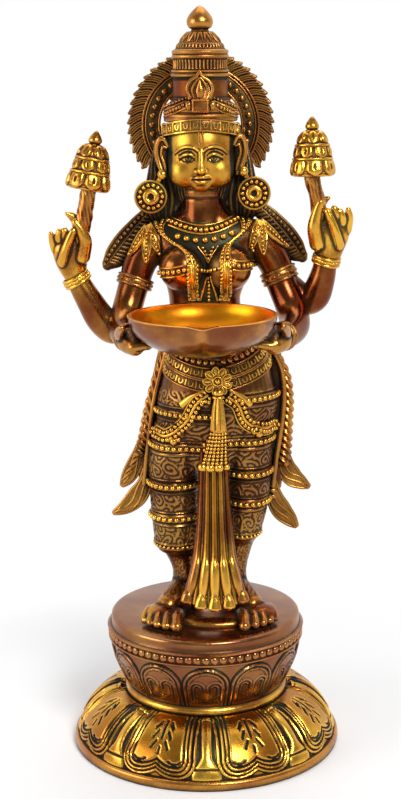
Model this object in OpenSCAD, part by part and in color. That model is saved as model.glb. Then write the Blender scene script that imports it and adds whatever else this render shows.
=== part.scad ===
// Deepalakshmi lamp: a standing four-armed figure in cast brass that holds out an oil dish.
// Origin on the ground at the centre of the lotus base, +Z up, the figure faces -Y.
// Figure heights are measured above the top of the drum, where the feet stand.

/* [Lotus base] */
// Outer radius of the rim that rests on the ground
base_r = 84.5; // [78:0.5:92]
// Height of the seat that carries the drum
base_h = 33; // [29:1:38]
// Height of the plain rim
rim_h = 6; // [4:0.5:9]
// Wall of the hollow casting
base_wall = 4; // [3:0.5:6]
// Number of broad petals round the dome
petal_count = 8; // [6:1:10]
// Height of the petals above the dome
petal_relief = 1.6; // [0.8:0.2:2.4]

/* [Drum] */
// Radius of the foot ring
drum_foot_r = 51; // [46:0.5:53]
// Radius of the bead band at the widest place
drum_r = 61.5; // [58:0.5:66]
// Radius of the top disc
disc_r = 59.5; // [55:0.5:61]
// Height of the drum
drum_h = 52; // [47:1:58]
// Wall of the hollow casting
drum_wall = 4; // [3:0.5:6]
// Number of arched panels round the wall
arch_count = 8; // [6:1:12]
// Height of the panels above the wall
arch_relief = 1.2; // [0.6:0.2:2]

/* [Fixings] */
// Diameter of the rod that ties the base to the drum
rod_d = 8; // [6:0.5:8.5]
// Height of the rod's nut
rod_nut_h = 6.5; // [5:0.5:9]
// Diameter of the studs under the feet
stud_d = 6; // [5:0.5:6.5]
// Height of the stud nuts
stud_nut_h = 5; // [4:0.5:7]
// Diameter of the rivet that holds the halo
rivet_d = 5; // [4:0.5:7]

/* [Legs] */
// Height of the ankles
ankle_h = 26; // [22:1:32]
// Height of the knees
knee_h = 76; // [66:1:84]
// Height of the widest part of the hips
hip_h = 136; // [128:1:142]
// Height of the joint between the legs and the torso, under the belt
belt_h = 164; // [160:1:168]
// Sway of the hips towards the viewer's right
hip_sway = 9; // [4:0.5:12]
// Half width of the hips
hip_half_w = 36; // [32:0.5:40]
// Radius of the ankles
ankle_r = 8; // [7:0.5:10]
// Length of the feet
foot_len = 52; // [44:1:58]

/* [Torso] */
// Height of the waist
waist_h = 196; // [190:1:202]
// Half width of the waist
waist_half_w = 21.5; // [18:0.5:25]
// Height of the bust
bust_h = 219; // [214:1:223]
// Radius of each breast
breast_r = 13.5; // [11:0.5:15]
// Height of the shoulders
shoulder_h = 238; // [234:1:241]
// Half width of the shoulders
shoulder_half_w = 36; // [32:0.5:40]
// Radius of the neck
neck_r = 12; // [10:0.5:14]

/* [Head] */
// Height of the joint in the neck, under the chin
neck_joint_h = 259; // [256:0.5:262]
// Height of the chin
chin_h = 267; // [264:0.5:270]
// Height of the seat of the crown
crown_h = 305; // [300:0.5:310]
// Half width of the face
face_half_w = 20; // [18:0.5:22]
// Depth of the face in front of the head's axis
face_depth = 25; // [22:0.5:28]
// Radius of the ear discs
ear_disc_r = 10; // [8:0.5:12]

/* [Crown] */
// Radius of the crown's plain drum
crown_r = 16.5; // [15:0.5:18]
// Radius of the headband
headband_r = 22; // [20:0.5:24]
// Height of the crown with its finial
crown_tall = 67; // [60:1:75]

/* [Halo] */
// Radius of the leaf tips
halo_r = 44; // [41:0.5:48]
// Radius of the raised ring inside the leaves
halo_ring_r = 34; // [32:0.5:36]
// Radius of the hole behind the head
halo_hole_r = 24.5; // [23:0.5:26]
// Thickness of the plate
halo_t = 3; // [2:0.25:5]
// Number of leaves in a full turn
leaf_count = 40; // [30:2:48]

/* [Arms] */
// Radius of the upper arms
arm_r = 10; // [8.5:0.25:11]
// Radius of the wrists
wrist_r = 6.6; // [5.5:0.2:8]
// Wire radius of the bangles
bangle_t = 1.6; // [1.2:0.2:2]

/* [Lotus buds] */
// Radius of the lowest tier of petals
bud_r = 13; // [11:0.5:15]
// Height of a bud with its tip
bud_h = 35; // [30:1:40]
// Radius of the stalk under the bud
stalk_r = 4.6; // [3.8:0.2:5.6]

/* [Lamp dish] */
// Outer radius of the rim
dish_r = 42.5; // [38:0.5:45]
// Depth of the bowl
dish_depth = 23; // [19:0.5:26]
// Wall of the bowl
dish_wall = 2; // [1.5:0.1:3]
// Height of the rim
dish_rim_h = 199; // [195:0.5:203]
// Distance of the bowl's centre in front of the figure
dish_reach = 66; // [64:0.5:70]
// Length of the pouring lip past the rim
lip_len = 3; // [2:0.25:5]

/* [Hidden] */

bronze = "saddlebrown";
gold = "goldenrod";
dark = "darkolivegreen";
copper = "peru";

stand_z = base_h + drum_h;
fit = 0.05;
gap = 0.3;
body_sides = 20;
limb_sides = 12;
fine_sides = 8;
end_round = 0.65;

// Smooth curves and lofts

// Point of a Catmull-Rom curve between b and c
function spline(a, b, c, d, t) =
    (2 * b + (c - a) * t + (2 * a - 5 * b + 4 * c - d) * t * t + (3 * b - a - 3 * c + d) * t * t * t) / 2;

// Smooth list through the points of p, with the given steps between each pair
function curve(p, steps) =
    let (n = len(p) - 1)
    [for (i = [0 : n - 1]) for (k = [0 : steps - 1])
        spline(p[max(i - 1, 0)], p[i], p[i + 1], p[min(i + 2, n)], k / steps), p[n]];

// Turns +Z to the direction v
module aim(v) {
    rotate([0, acos(v.z / norm(v)), atan2(v.y, v.x)]) children();
}

// Solid between two rings of points
module link(a, b) {
    hull() polyhedron(concat(a, b),
        [[for (i = [0 : len(a) - 1]) i], [for (i = [0 : len(b) - 1]) len(a) + i]]);
}

module links(rings) {
    for (i = [0 : len(rings) - 2]) link(rings[i], rings[i + 1]);
}

function unit(v) = v / norm(v);
function spot(b) = [b[0], b[1], b[2]];

// Ring of $fn points round p, square to the direction t
function ring(p, t, r, ref) =
    let (u = unit(cross(t, ref)), w = unit(cross(u, t)))
    [for (k = [0 : $fn - 1]) let (a = 360 * k / $fn) p + r * (cos(a) * u + sin(a) * w)];

// Ball b is [x, y, z, radius]
module ball(b) {
    translate(spot(b)) sphere(r = b[3]);
}

// Smooth limb with rounded ends through balls, none of its stretches along ref
module limb(balls, steps, ref = [1, 0, 0]) {
    c = curve(balls, steps);
    n = len(c) - 1;
    way = [for (i = [0 : n]) unit(spot(c[min(i + 1, n)]) - spot(c[max(i - 1, 0)]))];
    links(concat([ring(spot(c[0]) - way[0] * c[0][3] * end_round, way[0], c[0][3] * end_round, ref)],
        [for (i = [0 : n]) ring(spot(c[i]), way[i], c[i][3], ref)],
        [ring(spot(c[n]) + way[n] * c[n][3] * end_round, way[n], c[n][3] * end_round, ref)]));
}

// Outline of a section [height, middle, half width, front depth, back depth], moved out by grow
function outline(s, grow = 0) = [for (i = [0 : body_sides - 1]) let (a = 360 * i / body_sides)
    [s[1] + (s[2] + grow) * cos(a), ((sin(a) < 0 ? s[3] : s[4]) + grow) * sin(a), s[0]]];

// Body lofted through sections
module stack(sections) {
    links([for (s = sections) outline(s)]);
}

// Value of column k of a section list at height h
function at(sections, h, k) = lookup(h, [for (s = sections) [s[0], s[k]]]);

module on_stand() {
    translate([0, 0, stand_z]) children();
}

// Lotus base

rim_step = 2.5;
border_w = 2.2;
groove_w = 1.4;
collar_r = drum_foot_r + 1.5;
dome_steps = 10;
rod_hole_r = rod_d / 2 + 0.4;

// Rounded outline of the dome from the rim to the collar, moved out by off
function dome(off) = [for (i = [0 : dome_steps]) let (t = sin(90 * i / dome_steps))
    [collar_r + (base_r - rim_step - collar_r + off) * pow(1 - pow(t, 1.4), 1 / 1.9),
    rim_h + (base_h - rim_h + off) * t]];

// Broad petal with a two-lobed tip, moved in by inset
module petal_outline(inset = 0) {
    lobe = 3.14 * base_r / petal_count / 3.2;
    tip = base_r - rim_step - 2 - lobe;
    wide = 2 * lobe - inset;
    root = 1.2 * lobe - inset;
    for (s = [-1, 1]) translate([tip, s * lobe]) circle(lobe - inset, $fn = 48);
    polygon([[collar_r - 2, -root], [tip, -wide], [tip, wide], [collar_r - 2, root]]);
}

// Narrow sepal that shows between two petals
module sepal_outline() {
    tip = base_r - rim_step - 2;
    polygon([[collar_r - 2, -2], [tip - 8, -3], [tip, -8], [tip, 8], [tip - 8, 3], [collar_r - 2, 2]]);
}

module lotus_base() {
    inner = [for (p = dome(-base_wall)) [p.x, min(p.y, base_h - base_wall)]];
    color(gold) {
        rotate_extrude($fn = 96) polygon(concat([[base_r, 0], [base_r, rim_h - 1], [base_r - 1, rim_h]],
            dome(0), [[rod_hole_r, base_h], [rod_hole_r, base_h - base_wall]],
            [for (i = [dome_steps : -1 : 0]) inner[i]], [[base_r - rim_step - base_wall, 0]]));
        intersection() {
            rotate_extrude($fn = 96) polygon(concat(dome(petal_relief),
                [for (i = [dome_steps : -1 : 0]) dome(-1)[i]]));
            linear_extrude(base_h) for (i = [0 : petal_count - 1]) {
                rotate(360 * (i + 0.5) / petal_count - 90) {
                    difference() {
                        petal_outline();
                        petal_outline(border_w);
                    }
                    petal_outline(border_w + groove_w);
                }
                rotate(360 * i / petal_count - 90) sepal_outline();
            }
        }
    }
}

// Drum

ring_h = 4.5;
band_h = 7;
band_z = drum_h - 15;
wall_foot_r = drum_foot_r - 2;
wall_top_r = drum_r - 2;
boss_r = rod_d / 2 + 2;
boss_h = 14;
drum_steps = 8;
plate_h = drum_wall;

// Flared outline of the drum's wall, moved out by off
function flare(off) = [for (i = [0 : drum_steps]) let (t = i / drum_steps)
    [wall_foot_r + (wall_top_r - wall_foot_r) * sin(90 * t) + off, ring_h + (band_z - ring_h) * t]];

module arch_outline() {
    wide = 2 * 3.14 * wall_foot_r / arch_count * 0.84;
    low = ring_h + 2;
    spring = band_z - 3 - wide / 2;
    translate([0, spring]) circle(d = wide, $fn = 64);
    translate([-wide / 2, low]) square([wide, spring - low]);
}

module drum() {
    color(bronze) translate([0, 0, base_h]) {
        difference() {
            rotate_extrude($fn = 96) polygon(concat([[0, drum_h], [0, drum_h - plate_h],
                [disc_r - drum_wall, drum_h - plate_h], [wall_top_r - drum_wall, band_z],
                [wall_foot_r - drum_wall, ring_h], [wall_foot_r - drum_wall, 0]],
                [[drum_foot_r - 1, 0], [drum_foot_r, 1], [drum_foot_r, ring_h - 1],
                [drum_foot_r - 1, ring_h]],
                flare(0), [[drum_r - 1, band_z], [drum_r, band_z + 1], [drum_r, band_z + band_h],
                [disc_r, band_z + band_h], [disc_r, drum_h - 1], [disc_r - 1, drum_h]]));
            for (p = stud_places) translate([p.x, p.y, 0])
                cylinder(d = stud_d + 2 * fit, h = 2 * drum_h, $fn = 32);
        }
        difference() {
            translate([0, 0, drum_h - plate_h - boss_h]) cylinder(r = boss_r, h = boss_h + 1, $fn = 48);
            translate([0, 0, drum_h - plate_h - boss_h - 1])
                cylinder(d = rod_d + 2 * fit, h = boss_h, $fn = 48);
        }
        intersection() {
            rotate_extrude($fn = 96) polygon(concat(flare(arch_relief),
                [for (i = [drum_steps : -1 : 0]) flare(-1)[i]]));
            for (i = [0 : arch_count - 1]) rotate([90, 0, 360 * i / arch_count])
                linear_extrude(drum_r) arch_outline();
        }
    }
}

// Fixings under the drum and in the base

washer_r = rod_d + 4;
washer_t = 2;
nut_across = 1.6;
stud_in = 7;

module hex_nut(d, h) {
    difference() {
        cylinder(r = d * nut_across / 2 * 1.155, h = h, $fn = 6);
        translate([0, 0, -1]) cylinder(d = d + 2 * fit, h = h + 2, $fn = 32);
    }
}

module tie_rod() {
    top = stand_z - plate_h - 2;
    low = base_h - base_wall - washer_t - rod_nut_h - 3;
    color("silver") translate([0, 0, low]) cylinder(d = rod_d, h = top - low, $fn = 32);
}

module tie_washer() {
    color("silver") translate([0, 0, base_h - base_wall - washer_t]) difference() {
        cylinder(r = washer_r, h = washer_t, $fn = 48);
        translate([0, 0, -1]) cylinder(d = rod_d + 2 * fit, h = washer_t + 2, $fn = 32);
    }
}

module tie_nut() {
    color("silver") translate([0, 0, base_h - base_wall - washer_t - rod_nut_h]) hex_nut(rod_d, rod_nut_h);
}

module foot_studs() {
    color("silver") on_stand() for (p = stud_places)
        translate([p.x, p.y, -plate_h - stud_nut_h - 2])
            cylinder(d = stud_d, h = plate_h + stud_nut_h + 2 + stud_in, $fn = 32);
}

module foot_nuts() {
    color("silver") on_stand() for (p = stud_places)
        translate([p.x, p.y, -plate_h - stud_nut_h]) hex_nut(stud_d, stud_nut_h);
}

// Lower body: hips, draped legs and feet

ankle_x = [-12, 18];
toe_x = [-26, 32];
heel_y = 12;
stud_places = [[ankle_x[0], heel_y - 9], [ankle_x[1], heel_y - 9]];
toe_y = heel_y - foot_len;

hips = [[94, 4, 22, 17, 18], [112, 5, 32, 22, 24], [hip_h - 12, 0.8 * hip_sway, hip_half_w, 25, 27],
    [hip_h, hip_sway, hip_half_w + 1, 26, 28], [(hip_h + belt_h) / 2, hip_sway, hip_half_w - 2, 25, 26],
    [belt_h, hip_sway, hip_half_w - 5, 23, 23]];
left_leg = [[ankle_h - 12, ankle_x[0], ankle_r + 2, 10, 12], [ankle_h, ankle_x[0], ankle_r, 9, 9],
    [38, -15, 11, 11, 12], [42, -17, 13, 14, 15], [60, -18, 14.5, 16, 17], [knee_h, -18.5, 15, 17, 18],
    [100, -18, 16, 19, 20], [122, -12, 18, 21, 23]];
right_leg = [[ankle_h - 12, ankle_x[1], ankle_r + 2, 10, 12], [ankle_h, ankle_x[1], ankle_r, 9, 9],
    [44, 21, 9.5, 10, 11], [49, 23, 11, 13, 14], [62, 25.5, 12.5, 15, 16], [knee_h, 27, 13.5, 17, 18],
    [100, 27, 15, 19, 20], [122, 25, 18, 21, 23]];
// Foot on one side, 0 for the viewer's left and 1 for the right
module foot(side) {
    x0 = ankle_x[side];
    x1 = toe_x[side];
    fan = side == 0 ? -1 : 1;
    hull() {
        translate([x0, heel_y - 9, 8]) sphere(9, $fn = fine_sides);
        translate([x0, 0, ankle_h - 9]) sphere(8, $fn = fine_sides);
    }
    hull() {
        translate([x0, 0, ankle_h - 13]) sphere(8, $fn = fine_sides);
        for (s = [-1, 1]) translate([x1 + s * 6, toe_y + 14, 4.5]) sphere(4.5, $fn = fine_sides);
    }
    for (i = [0 : 4]) hull() {
        translate([x1 + fan * (i - 2) * 3.6, toe_y + 14 + i, 4]) sphere(2.8 - 0.2 * i, $fn = 6);
        translate([x1 + fan * ((i - 2) * 4.2 + 2), toe_y + 4 + 1.6 * i, 2.8]) sphere(2.8 - 0.25 * i, $fn = 6);
    }
}

left_bands = [109.5, 84.5, 63.5];
right_bands = [113, 92, 73];
band_proud = 2;
band_half = 2.4;

// Raised band round a leg
module leg_band(leg, h) {
    links([for (k = [-1, 0, 1]) outline([for (c = [0 : 4]) c == 0 ? h + k * band_half : at(leg, h, c)],
        k == 0 ? band_proud : -band_proud / 4)]);
}

module lower_body_form() {
    difference() {
        union() {
            stack(hips);
            stack(left_leg);
            stack(right_leg);
            for (h = left_bands) leg_band(left_leg, h);
            for (h = right_bands) leg_band(right_leg, h);
            foot(0);
            foot(1);
        }
        translate([0, 0, -20]) cube([200, 200, 40], center = true);
        translate([0, 0, belt_h + 20]) cube([200, 200, 40], center = true);
    }
}

module lower_body() {
    color(bronze) on_stand() difference() {
        lower_body_form();
        for (p = stud_places) translate([p.x, p.y, -1])
            cylinder(d = stud_d + 0.6, h = stud_in + 1.2, $fn = 16);
    }
}

// Pleated cloth that hangs between the legs

pleat_top_h = 116;
pleat_x = 6;
pleat_ribs = 5;

module front_pleat() {
    color(gold) on_stand() difference() {
        for (i = [0 : pleat_ribs - 1]) let (s = i - (pleat_ribs - 1) / 2, bow = 1.5 * s * s) limb([
            [pleat_x + 3.6 * s, -22 + bow / 2, pleat_top_h, 2.6],
            [pleat_x + 4 * s, -27 + bow, 62, 3],
            [pleat_x + 5.4 * s, -31 + bow, 38, 4],
            [pleat_x - 1 + 7.6 * s, -40 + 1.4 * bow, 18 + bow, 5]], 1, $fn = fine_sides);
        lower_body_form();
    }
}

// Sashes at the hips

sash_tab = 3.4;

// Two ribbons with pointed ends, joined by a web
module sash(outer, inner) {
    color(copper) on_stand() difference() {
        union() {
            limb(outer, 2, $fn = 6);
            limb(inner, 2, $fn = 6);
            for (i = [0 : 1]) hull() {
                ball(outer[i] - [0, 0, 0, 1.4], $fn = 8);
                ball(outer[i + 1] - [0, 0, 0, 1.4], $fn = 8);
                ball(inner[i] - [0, 0, 0, 1.4], $fn = 8);
                ball(inner[i + 1] - [0, 0, 0, 1.4], $fn = 8);
            }
        }
        lower_body_form();
        belt_form();
    }
}

module sash_left() {
    sash([[-26, 6, belt_h - 1, sash_tab], [-35, 6, hip_h, sash_tab], [-43, 6, 103, sash_tab + 0.6],
        [-53, 6, 84, 2]],
        [[-25, 2, belt_h - 14, sash_tab], [-30, 2, 122, sash_tab], [-34, 3, 97, sash_tab],
        [-39, 4, 78, sash_tab + 1.4], [-57, 6, 66, 2]]);
}

module sash_right() {
    sash([[45, 6, belt_h + 1, sash_tab], [52, 6, hip_h, sash_tab], [53, 6, 100, sash_tab + 0.6],
        [65, 6, 81, 2]],
        [[44, 2, belt_h - 10, sash_tab], [44, 2, 122, sash_tab], [41, 3, 90, sash_tab],
        [42, 4, 72, sash_tab + 1.4], [58, 6, 56, 2]]);
}

// Belt of three rows that dips to the rosette

belt_t = 2;
belt_row_w = 4.4;
belt_rows = 3;
belt_pitch = 5;
belt_gap = 0.25;
belt_dip = 6;
belt_tilt = 3;

// Column k of the trunk's section at height h
function trunk(h, k) = h < belt_h ? at(hips, h, k) : at(torso_sections, h, k);

// Point of the belt at angle a from the viewer's right, off the trunk by off
function belt_point(a, off, h) =
    let (z = h + belt_dip * (1 + sin(a)) / 2 + belt_tilt * cos(a))
    [trunk(z, 1) + (trunk(z, 2) + off) * cos(a), (trunk(z, sin(a) < 0 ? 3 : 4) + off) * sin(a), z];

module belt_row(h) {
    rings = [for (i = [0 : body_sides - 1]) let (a = 360 * i / body_sides) [belt_point(a, belt_gap, h),
        belt_point(a, belt_t, h + 0.8), belt_point(a, belt_t, h + belt_row_w - 0.8),
        belt_point(a, belt_gap, h + belt_row_w)]];
    polyhedron([for (r = rings) each r], [for (i = [0 : body_sides - 1]) for (k = [0 : 3])
        let (j = (i + 1) % body_sides, n = (k + 1) % 4) each [[4 * i + k, 4 * i + n, 4 * j + n],
        [4 * i + k, 4 * j + n, 4 * j + k]]]);
}

module belt_form() {
    for (i = [0 : belt_rows - 1]) belt_row(belt_h - 6 + belt_pitch * i - belt_row_w / 2);
}

module waist_belt() {
    color(dark) on_stand() belt_form();
}

// Rosette, swags and tassel in front of the hips

rosette_r = 8;
rosette_petals = 9;
rosette_h = belt_h - 8;
rosette_y = -at(hips, belt_h, 3) - belt_t - 1.5;

module belt_rosette() {
    color(gold) on_stand() translate([hip_sway, rosette_y, rosette_h]) rotate([90, 0, 0]) {
        rotate_extrude($fn = 48) polygon([[0, 0], [5, 0], [5, 1.6], [4.4, 2], [2.6, 2], [2.4, 3.2],
            [1.6, 4.2], [0, 4.6]]);
        for (i = [0 : rosette_petals - 1]) rotate(360 * i / rosette_petals)
            translate([rosette_r - 2.1, 0, 0.4]) cylinder(r = 1.85, h = 1.4, $fn = 24);
    }
}

module girdle_swags() {
    color(gold) on_stand() difference() {
        union() {
            limb([[2, -26, rosette_h - 3, 2], [-8, -25, 137, 2], [-15, -24, 129, 2], [-21, -19, 126, 2],
                [-26, -13, 131, 1.6]], 2, [0, 1, 0], $fn = fine_sides);
            limb([[15, -26, rosette_h - 3, 2], [25, -24, 137, 2], [32, -20, 131, 2], [37, -16, 130, 2],
                [43, -8, 137, 1.6]], 2, [0, 1, 0], $fn = fine_sides);
        }
        lower_body_form();
        belt_form();
        translate([hip_sway, rosette_y + 3, rosette_h]) rotate([90, 0, 0])
            cylinder(r = rosette_r + gap, h = 10, $fn = body_sides);
    }
}

tassel_strands = 4;
tassel_len = 58;
tassel_bell_r = 4;
tassel_y = -at(hips, hip_h, 3) - tassel_bell_r - gap;

module girdle_tassel() {
    top = rosette_h - rosette_r - 1;
    color(gold) on_stand() translate([hip_sway - 1, tassel_y, top]) {
        translate([0, 0, -8]) cylinder(r1 = tassel_bell_r, r2 = 1.6, h = 8, $fn = 32);
        for (i = [0 : tassel_strands - 1]) let (s = i - (tassel_strands - 1) / 2) {
            translate([s * 2.2, 0, -tassel_len + 8]) cylinder(r = 0.8, h = tassel_len - 14, $fn = 24);
            translate([s * 2.2, 0, -tassel_len + 8]) sphere(1, $fn = 24);
        }
    }
}

// Torso

torso_sections = [[belt_h, hip_sway, hip_half_w - 5, 23, 23],
    [(belt_h + waist_h) / 2, 0.55 * hip_sway, 26, 19, 19],
    [waist_h, 1.5, waist_half_w, 16, 15], [waist_h + 12, 2, 24, 17, 16], [bust_h, 2.5, 29, 18, 18],
    [shoulder_h - 6, 2, shoulder_half_w - 2, 17, 18], [shoulder_h + 2, 2, shoulder_half_w, 14, 16],
    [shoulder_h + 8, 1.5, 25, 12, 14], [shoulder_h + 14, 1.5, neck_r + 3, neck_r - 1, neck_r + 1],
    [neck_joint_h, 1, neck_r, neck_r - 2, neck_r]];
breast_x = 14;
breast_y = -16;

module torso_form() {
    stack(torso_sections);
    for (s = [-1, 1]) translate([2 + s * breast_x, breast_y, bust_h]) sphere(breast_r, $fn = 18);
}

module torso() {
    color(bronze) on_stand() torso_form();
}

// Necklace, garland and shoulder ornaments

module necklace() {
    color(gold) on_stand() difference() {
        union() {
            limb([[-19, -7, 248, 1.8], [-10, -12, 244, 1.8], [1, -14.5, 241, 1.8], [12, -12, 244, 1.8],
                [21, -7, 249, 1.8]], 2, [0, 0, 1], $fn = 6);
            limb([[-18.5, -12.4, 241, 2.1], [-10, -16.5, 237, 2.1], [1.5, -18.5, 234, 2.1],
                [13, -16.5, 237, 2.1], [20.5, -12.4, 241, 2.1]], 2, [0, 0, 1], $fn = 6);
            hull() {
                translate([2, -19, 233]) sphere(2, $fn = fine_sides);
                translate([2, -20, 226]) sphere(3.2, $fn = fine_sides);
            }
        }
        torso_form();
    }
}

module garland() {
    color(gold) on_stand() difference() {
        union() {
            limb([[-24, -9, 247, 3], [-24.4, -14, 240, 3], [-19, -21, 233, 3], [-11.2, -28, 225, 3.2],
                [-7, -30.2, 216, 3.2], [-6.8, -23, 207, 3], [-4.2, -18, 201, 2.6]], 2, $fn = fine_sides);
            limb([[26.2, -9, 249, 3], [27, -14.2, 243, 3], [23, -21.4, 236, 3], [15.2, -28, 228, 3.2],
                [12, -30.4, 219, 3.2], [11.8, -23.2, 209, 3], [9.2, -18.2, 201, 2.6]], 2, $fn = fine_sides);
        }
        torso_form();
        necklace_clear();
    }
}

// Room that the garland leaves for the necklace
module necklace_clear() {
    translate([1.5, -11, 243]) cube([34, 20, 4], center = true);
}

leaf_tips = [[15, 1, -4, 1.8], [13, -6, -13, 1.8], [6, -10, -19, 1.8]];

// Fan of leaves on the shoulder, side -1 or 1
module shoulder_leaves(side, root) {
    color(gold) on_stand() difference() {
        for (t = leaf_tips) let (tip = [root.x + side * t.x, root.y + t.y, root.z + t.z])
            limb([[root.x, root.y, root.z, 2],
                [root.x * 0.45 + tip.x * 0.55, root.y * 0.45 + tip.y * 0.55 - 2,
                root.z * 0.45 + tip.z * 0.55 + 2, 3.4], [tip.x, tip.y, tip.z, t[3]]], 1, $fn = fine_sides);
        torso_form();
        if (side < 0) arm_left_form();
        else arm_right_form();
        garland_clear();
    }
}

// Room that the shoulder leaves leave for the garland
module garland_clear() {
    translate([1, 0, 240]) cube([57, 100, 40], center = true);
}

module shoulder_leaves_left() {
    shoulder_leaves(-1, [-31, -8, 243]);
}

module shoulder_leaves_right() {
    shoulder_leaves(1, [35, -8, 245]);
}

// Dark pointed flap behind a shoulder
module shoulder_flap(corners) {
    color(dark) on_stand() difference() {
        hull() for (c = corners) ball(c, $fn = fine_sides);
        torso_form();
        arm_left_form();
        arm_right_form();
        armlet_room(0);
        armlet_room(1);
    }
}

module shoulder_flap_left() {
    shoulder_flap([[-35, 9, 243, 5], [-47, 9, 238, 3], [-60, 9, 220, 1.6], [-40, 9, 207, 3]]);
}

module shoulder_flap_right() {
    shoulder_flap([[35, 9, 245, 5], [51, 9, 241, 3], [63.5, 9, 224, 1.6], [46, 9, 208, 3]]);
}

// Head and hair

head_mid_h = 290;
nose_h = chin_h + 15;
brow_h = chin_h + 32;

module head_form() {
    difference() {
        union() {
            translate([0, 0, neck_joint_h])
                cylinder(r1 = neck_r, r2 = neck_r - 0.5, h = 12, $fn = body_sides);
            hull() {
                translate([0, -1, head_mid_h]) scale([face_half_w, 23, 20]) sphere(1, $fn = 20);
                for (s = [-1, 1]) translate([s * 8, 8 - face_depth, chin_h + 12]) sphere(9, $fn = 12);
                translate([0, 4.6 - face_depth, chin_h + 5]) sphere(5, $fn = 12);
            }
            hull() {
                translate([0, 1.5 - face_depth, brow_h - 3]) sphere(1.8, $fn = fine_sides);
                translate([0, -3 - face_depth, nose_h + 1]) sphere(2.4, $fn = fine_sides);
            }
            for (s = [-1, 1]) {
                hull() {
                    translate([0, -2.4 - face_depth, nose_h + 0.5]) sphere(1.8, $fn = 6);
                    translate([s * 2.8, 0.6 - face_depth, nose_h]) sphere(1.8, $fn = 6);
                }
                hull() {
                    translate([0, 0.4 - face_depth, chin_h + 9]) sphere(1.6, $fn = 6);
                    translate([s * 4.2, 2 - face_depth, chin_h + 9.2]) sphere(0.9, $fn = 6);
                }
                limb([[s * 19, -2, brow_h - 2, 2.4], [s * 23, -3, brow_h - 5, 2.4],
                    [s * 23, -4, brow_h - 16, 2.6], [s * 21, -5, nose_h - 8, 3]], 1, $fn = 6);
            }
        }
        translate([0, 0, crown_h + 20]) cube([100, 100, 40], center = true);
    }
}

// Hole for the halo's rivet in the hair and the head
module rivet_hole() {
    translate([0, hair_back, bar_h]) rotate([90, 0, 0])
        cylinder(d = rivet_d + 0.6, h = rivet_in + 0.5, $fn = 16);
}

module head() {
    color(copper) on_stand() difference() {
        head_form();
        rivet_hole();
        for (s = [-1, 1]) ear_room(s);
    }
}

bar_h = crown_h - 8;
rivet_in = 10;
hair_back = headband_r + gap;
lock_drop = 246;

module hair() {
    color(dark) on_stand() difference() {
        union() {
            hull() {
                ball([0, 8, crown_h - 12, 19], $fn = 14);
                ball([0, 9, 266, 15], $fn = 14);
            }
            hull() {
                ball([0, 9, 266, 15], $fn = 14);
                ball([0, 11, lock_drop + 4, 9], $fn = 14);
            }
            for (s = [-1, 1]) limb([[s * 19, 8, crown_h - 6, 5], [s * 24, 5, 284, 6], [s * 26, 3, 268, 7],
                [s * 26, 3, 256, 7], [s * 24, 6, lock_drop, 5]], 1, $fn = fine_sides);
        }
        head_form();
        torso_form();
        for (s = [-1, 1]) ear_room(s);
        translate([0, hair_back + 20, crown_h - 35]) cube([120, 40, 160], center = true);
        translate([0, 0, crown_h + 20]) cube([100, 100, 40], center = true);
        rivet_hole();
        necklace_band();
    }
}

// Room that the hair leaves for the necklaces at the sides of the neck
module necklace_band() {
    translate([0, -20, 245]) cube([120, 40, 40], center = true);
}

// Ear discs

disc_t = 3;
disc_y = -9;
disc_places = [[-30, 261.5], [31.3, 263]];
ear_stud_places = [[-23, 274.5], [25, 276]];
ear_stud_r = 3;
ear_link_r = 1.2;

module ear_disc(i) {
    p = disc_places[i];
    q = ear_stud_places[i];
    boss_mid = 0.36 * ear_disc_r;
    translate([p.x, disc_y, p.y]) rotate([-90, 0, 0]) rotate_extrude($fn = 48) polygon([[0, disc_t],
        [ear_disc_r - 0.6, disc_t], [ear_disc_r, 0.8], [ear_disc_r - 0.4, -0.3], [ear_disc_r - 1.2, -0.8],
        [ear_disc_r - 2, -0.4], [ear_disc_r - 2.6, 0.5], [boss_mid + 1.7, 0.5], [boss_mid + 1.2, -0.8],
        [boss_mid, -1.3], [boss_mid - 1.2, -0.8], [boss_mid - 1.7, 0.5], [0, 0.5]]);
    translate([q.x, disc_y + 1.5, q.y]) sphere(ear_stud_r, $fn = 32);
    ear_link(i, ear_link_r, $fn = 24);
}

// Link from the stud to the disc
module ear_link(i, r) {
    v = disc_places[i] - ear_stud_places[i];
    translate([ear_stud_places[i].x, disc_y + 1.5, ear_stud_places[i].y]) aim([v.x, 0, v.y])
        cylinder(r = r, h = norm(v) - ear_disc_r + 1);
}

// Room for an ear disc and its stud, side -1 or 1
module ear_room(side) {
    i = side < 0 ? 0 : 1;
    p = disc_places[i];
    q = ear_stud_places[i];
    translate([p.x, disc_y - 2, p.y]) rotate([-90, 0, 0])
        cylinder(r = ear_disc_r + 0.6, h = disc_t + 2.05, $fn = 24);
    translate([q.x, disc_y + 1.5, q.y]) sphere(ear_stud_r + 0.3, $fn = 14);
    ear_link(i, ear_link_r + 0.3, $fn = 12);
}

module ear_disc_left() {
    color(gold) on_stand() ear_disc(0);
}

module ear_disc_right() {
    color(gold) on_stand() ear_disc(1);
}

// Crown, crest and finial

finial_h = crown_tall - 15;

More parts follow.
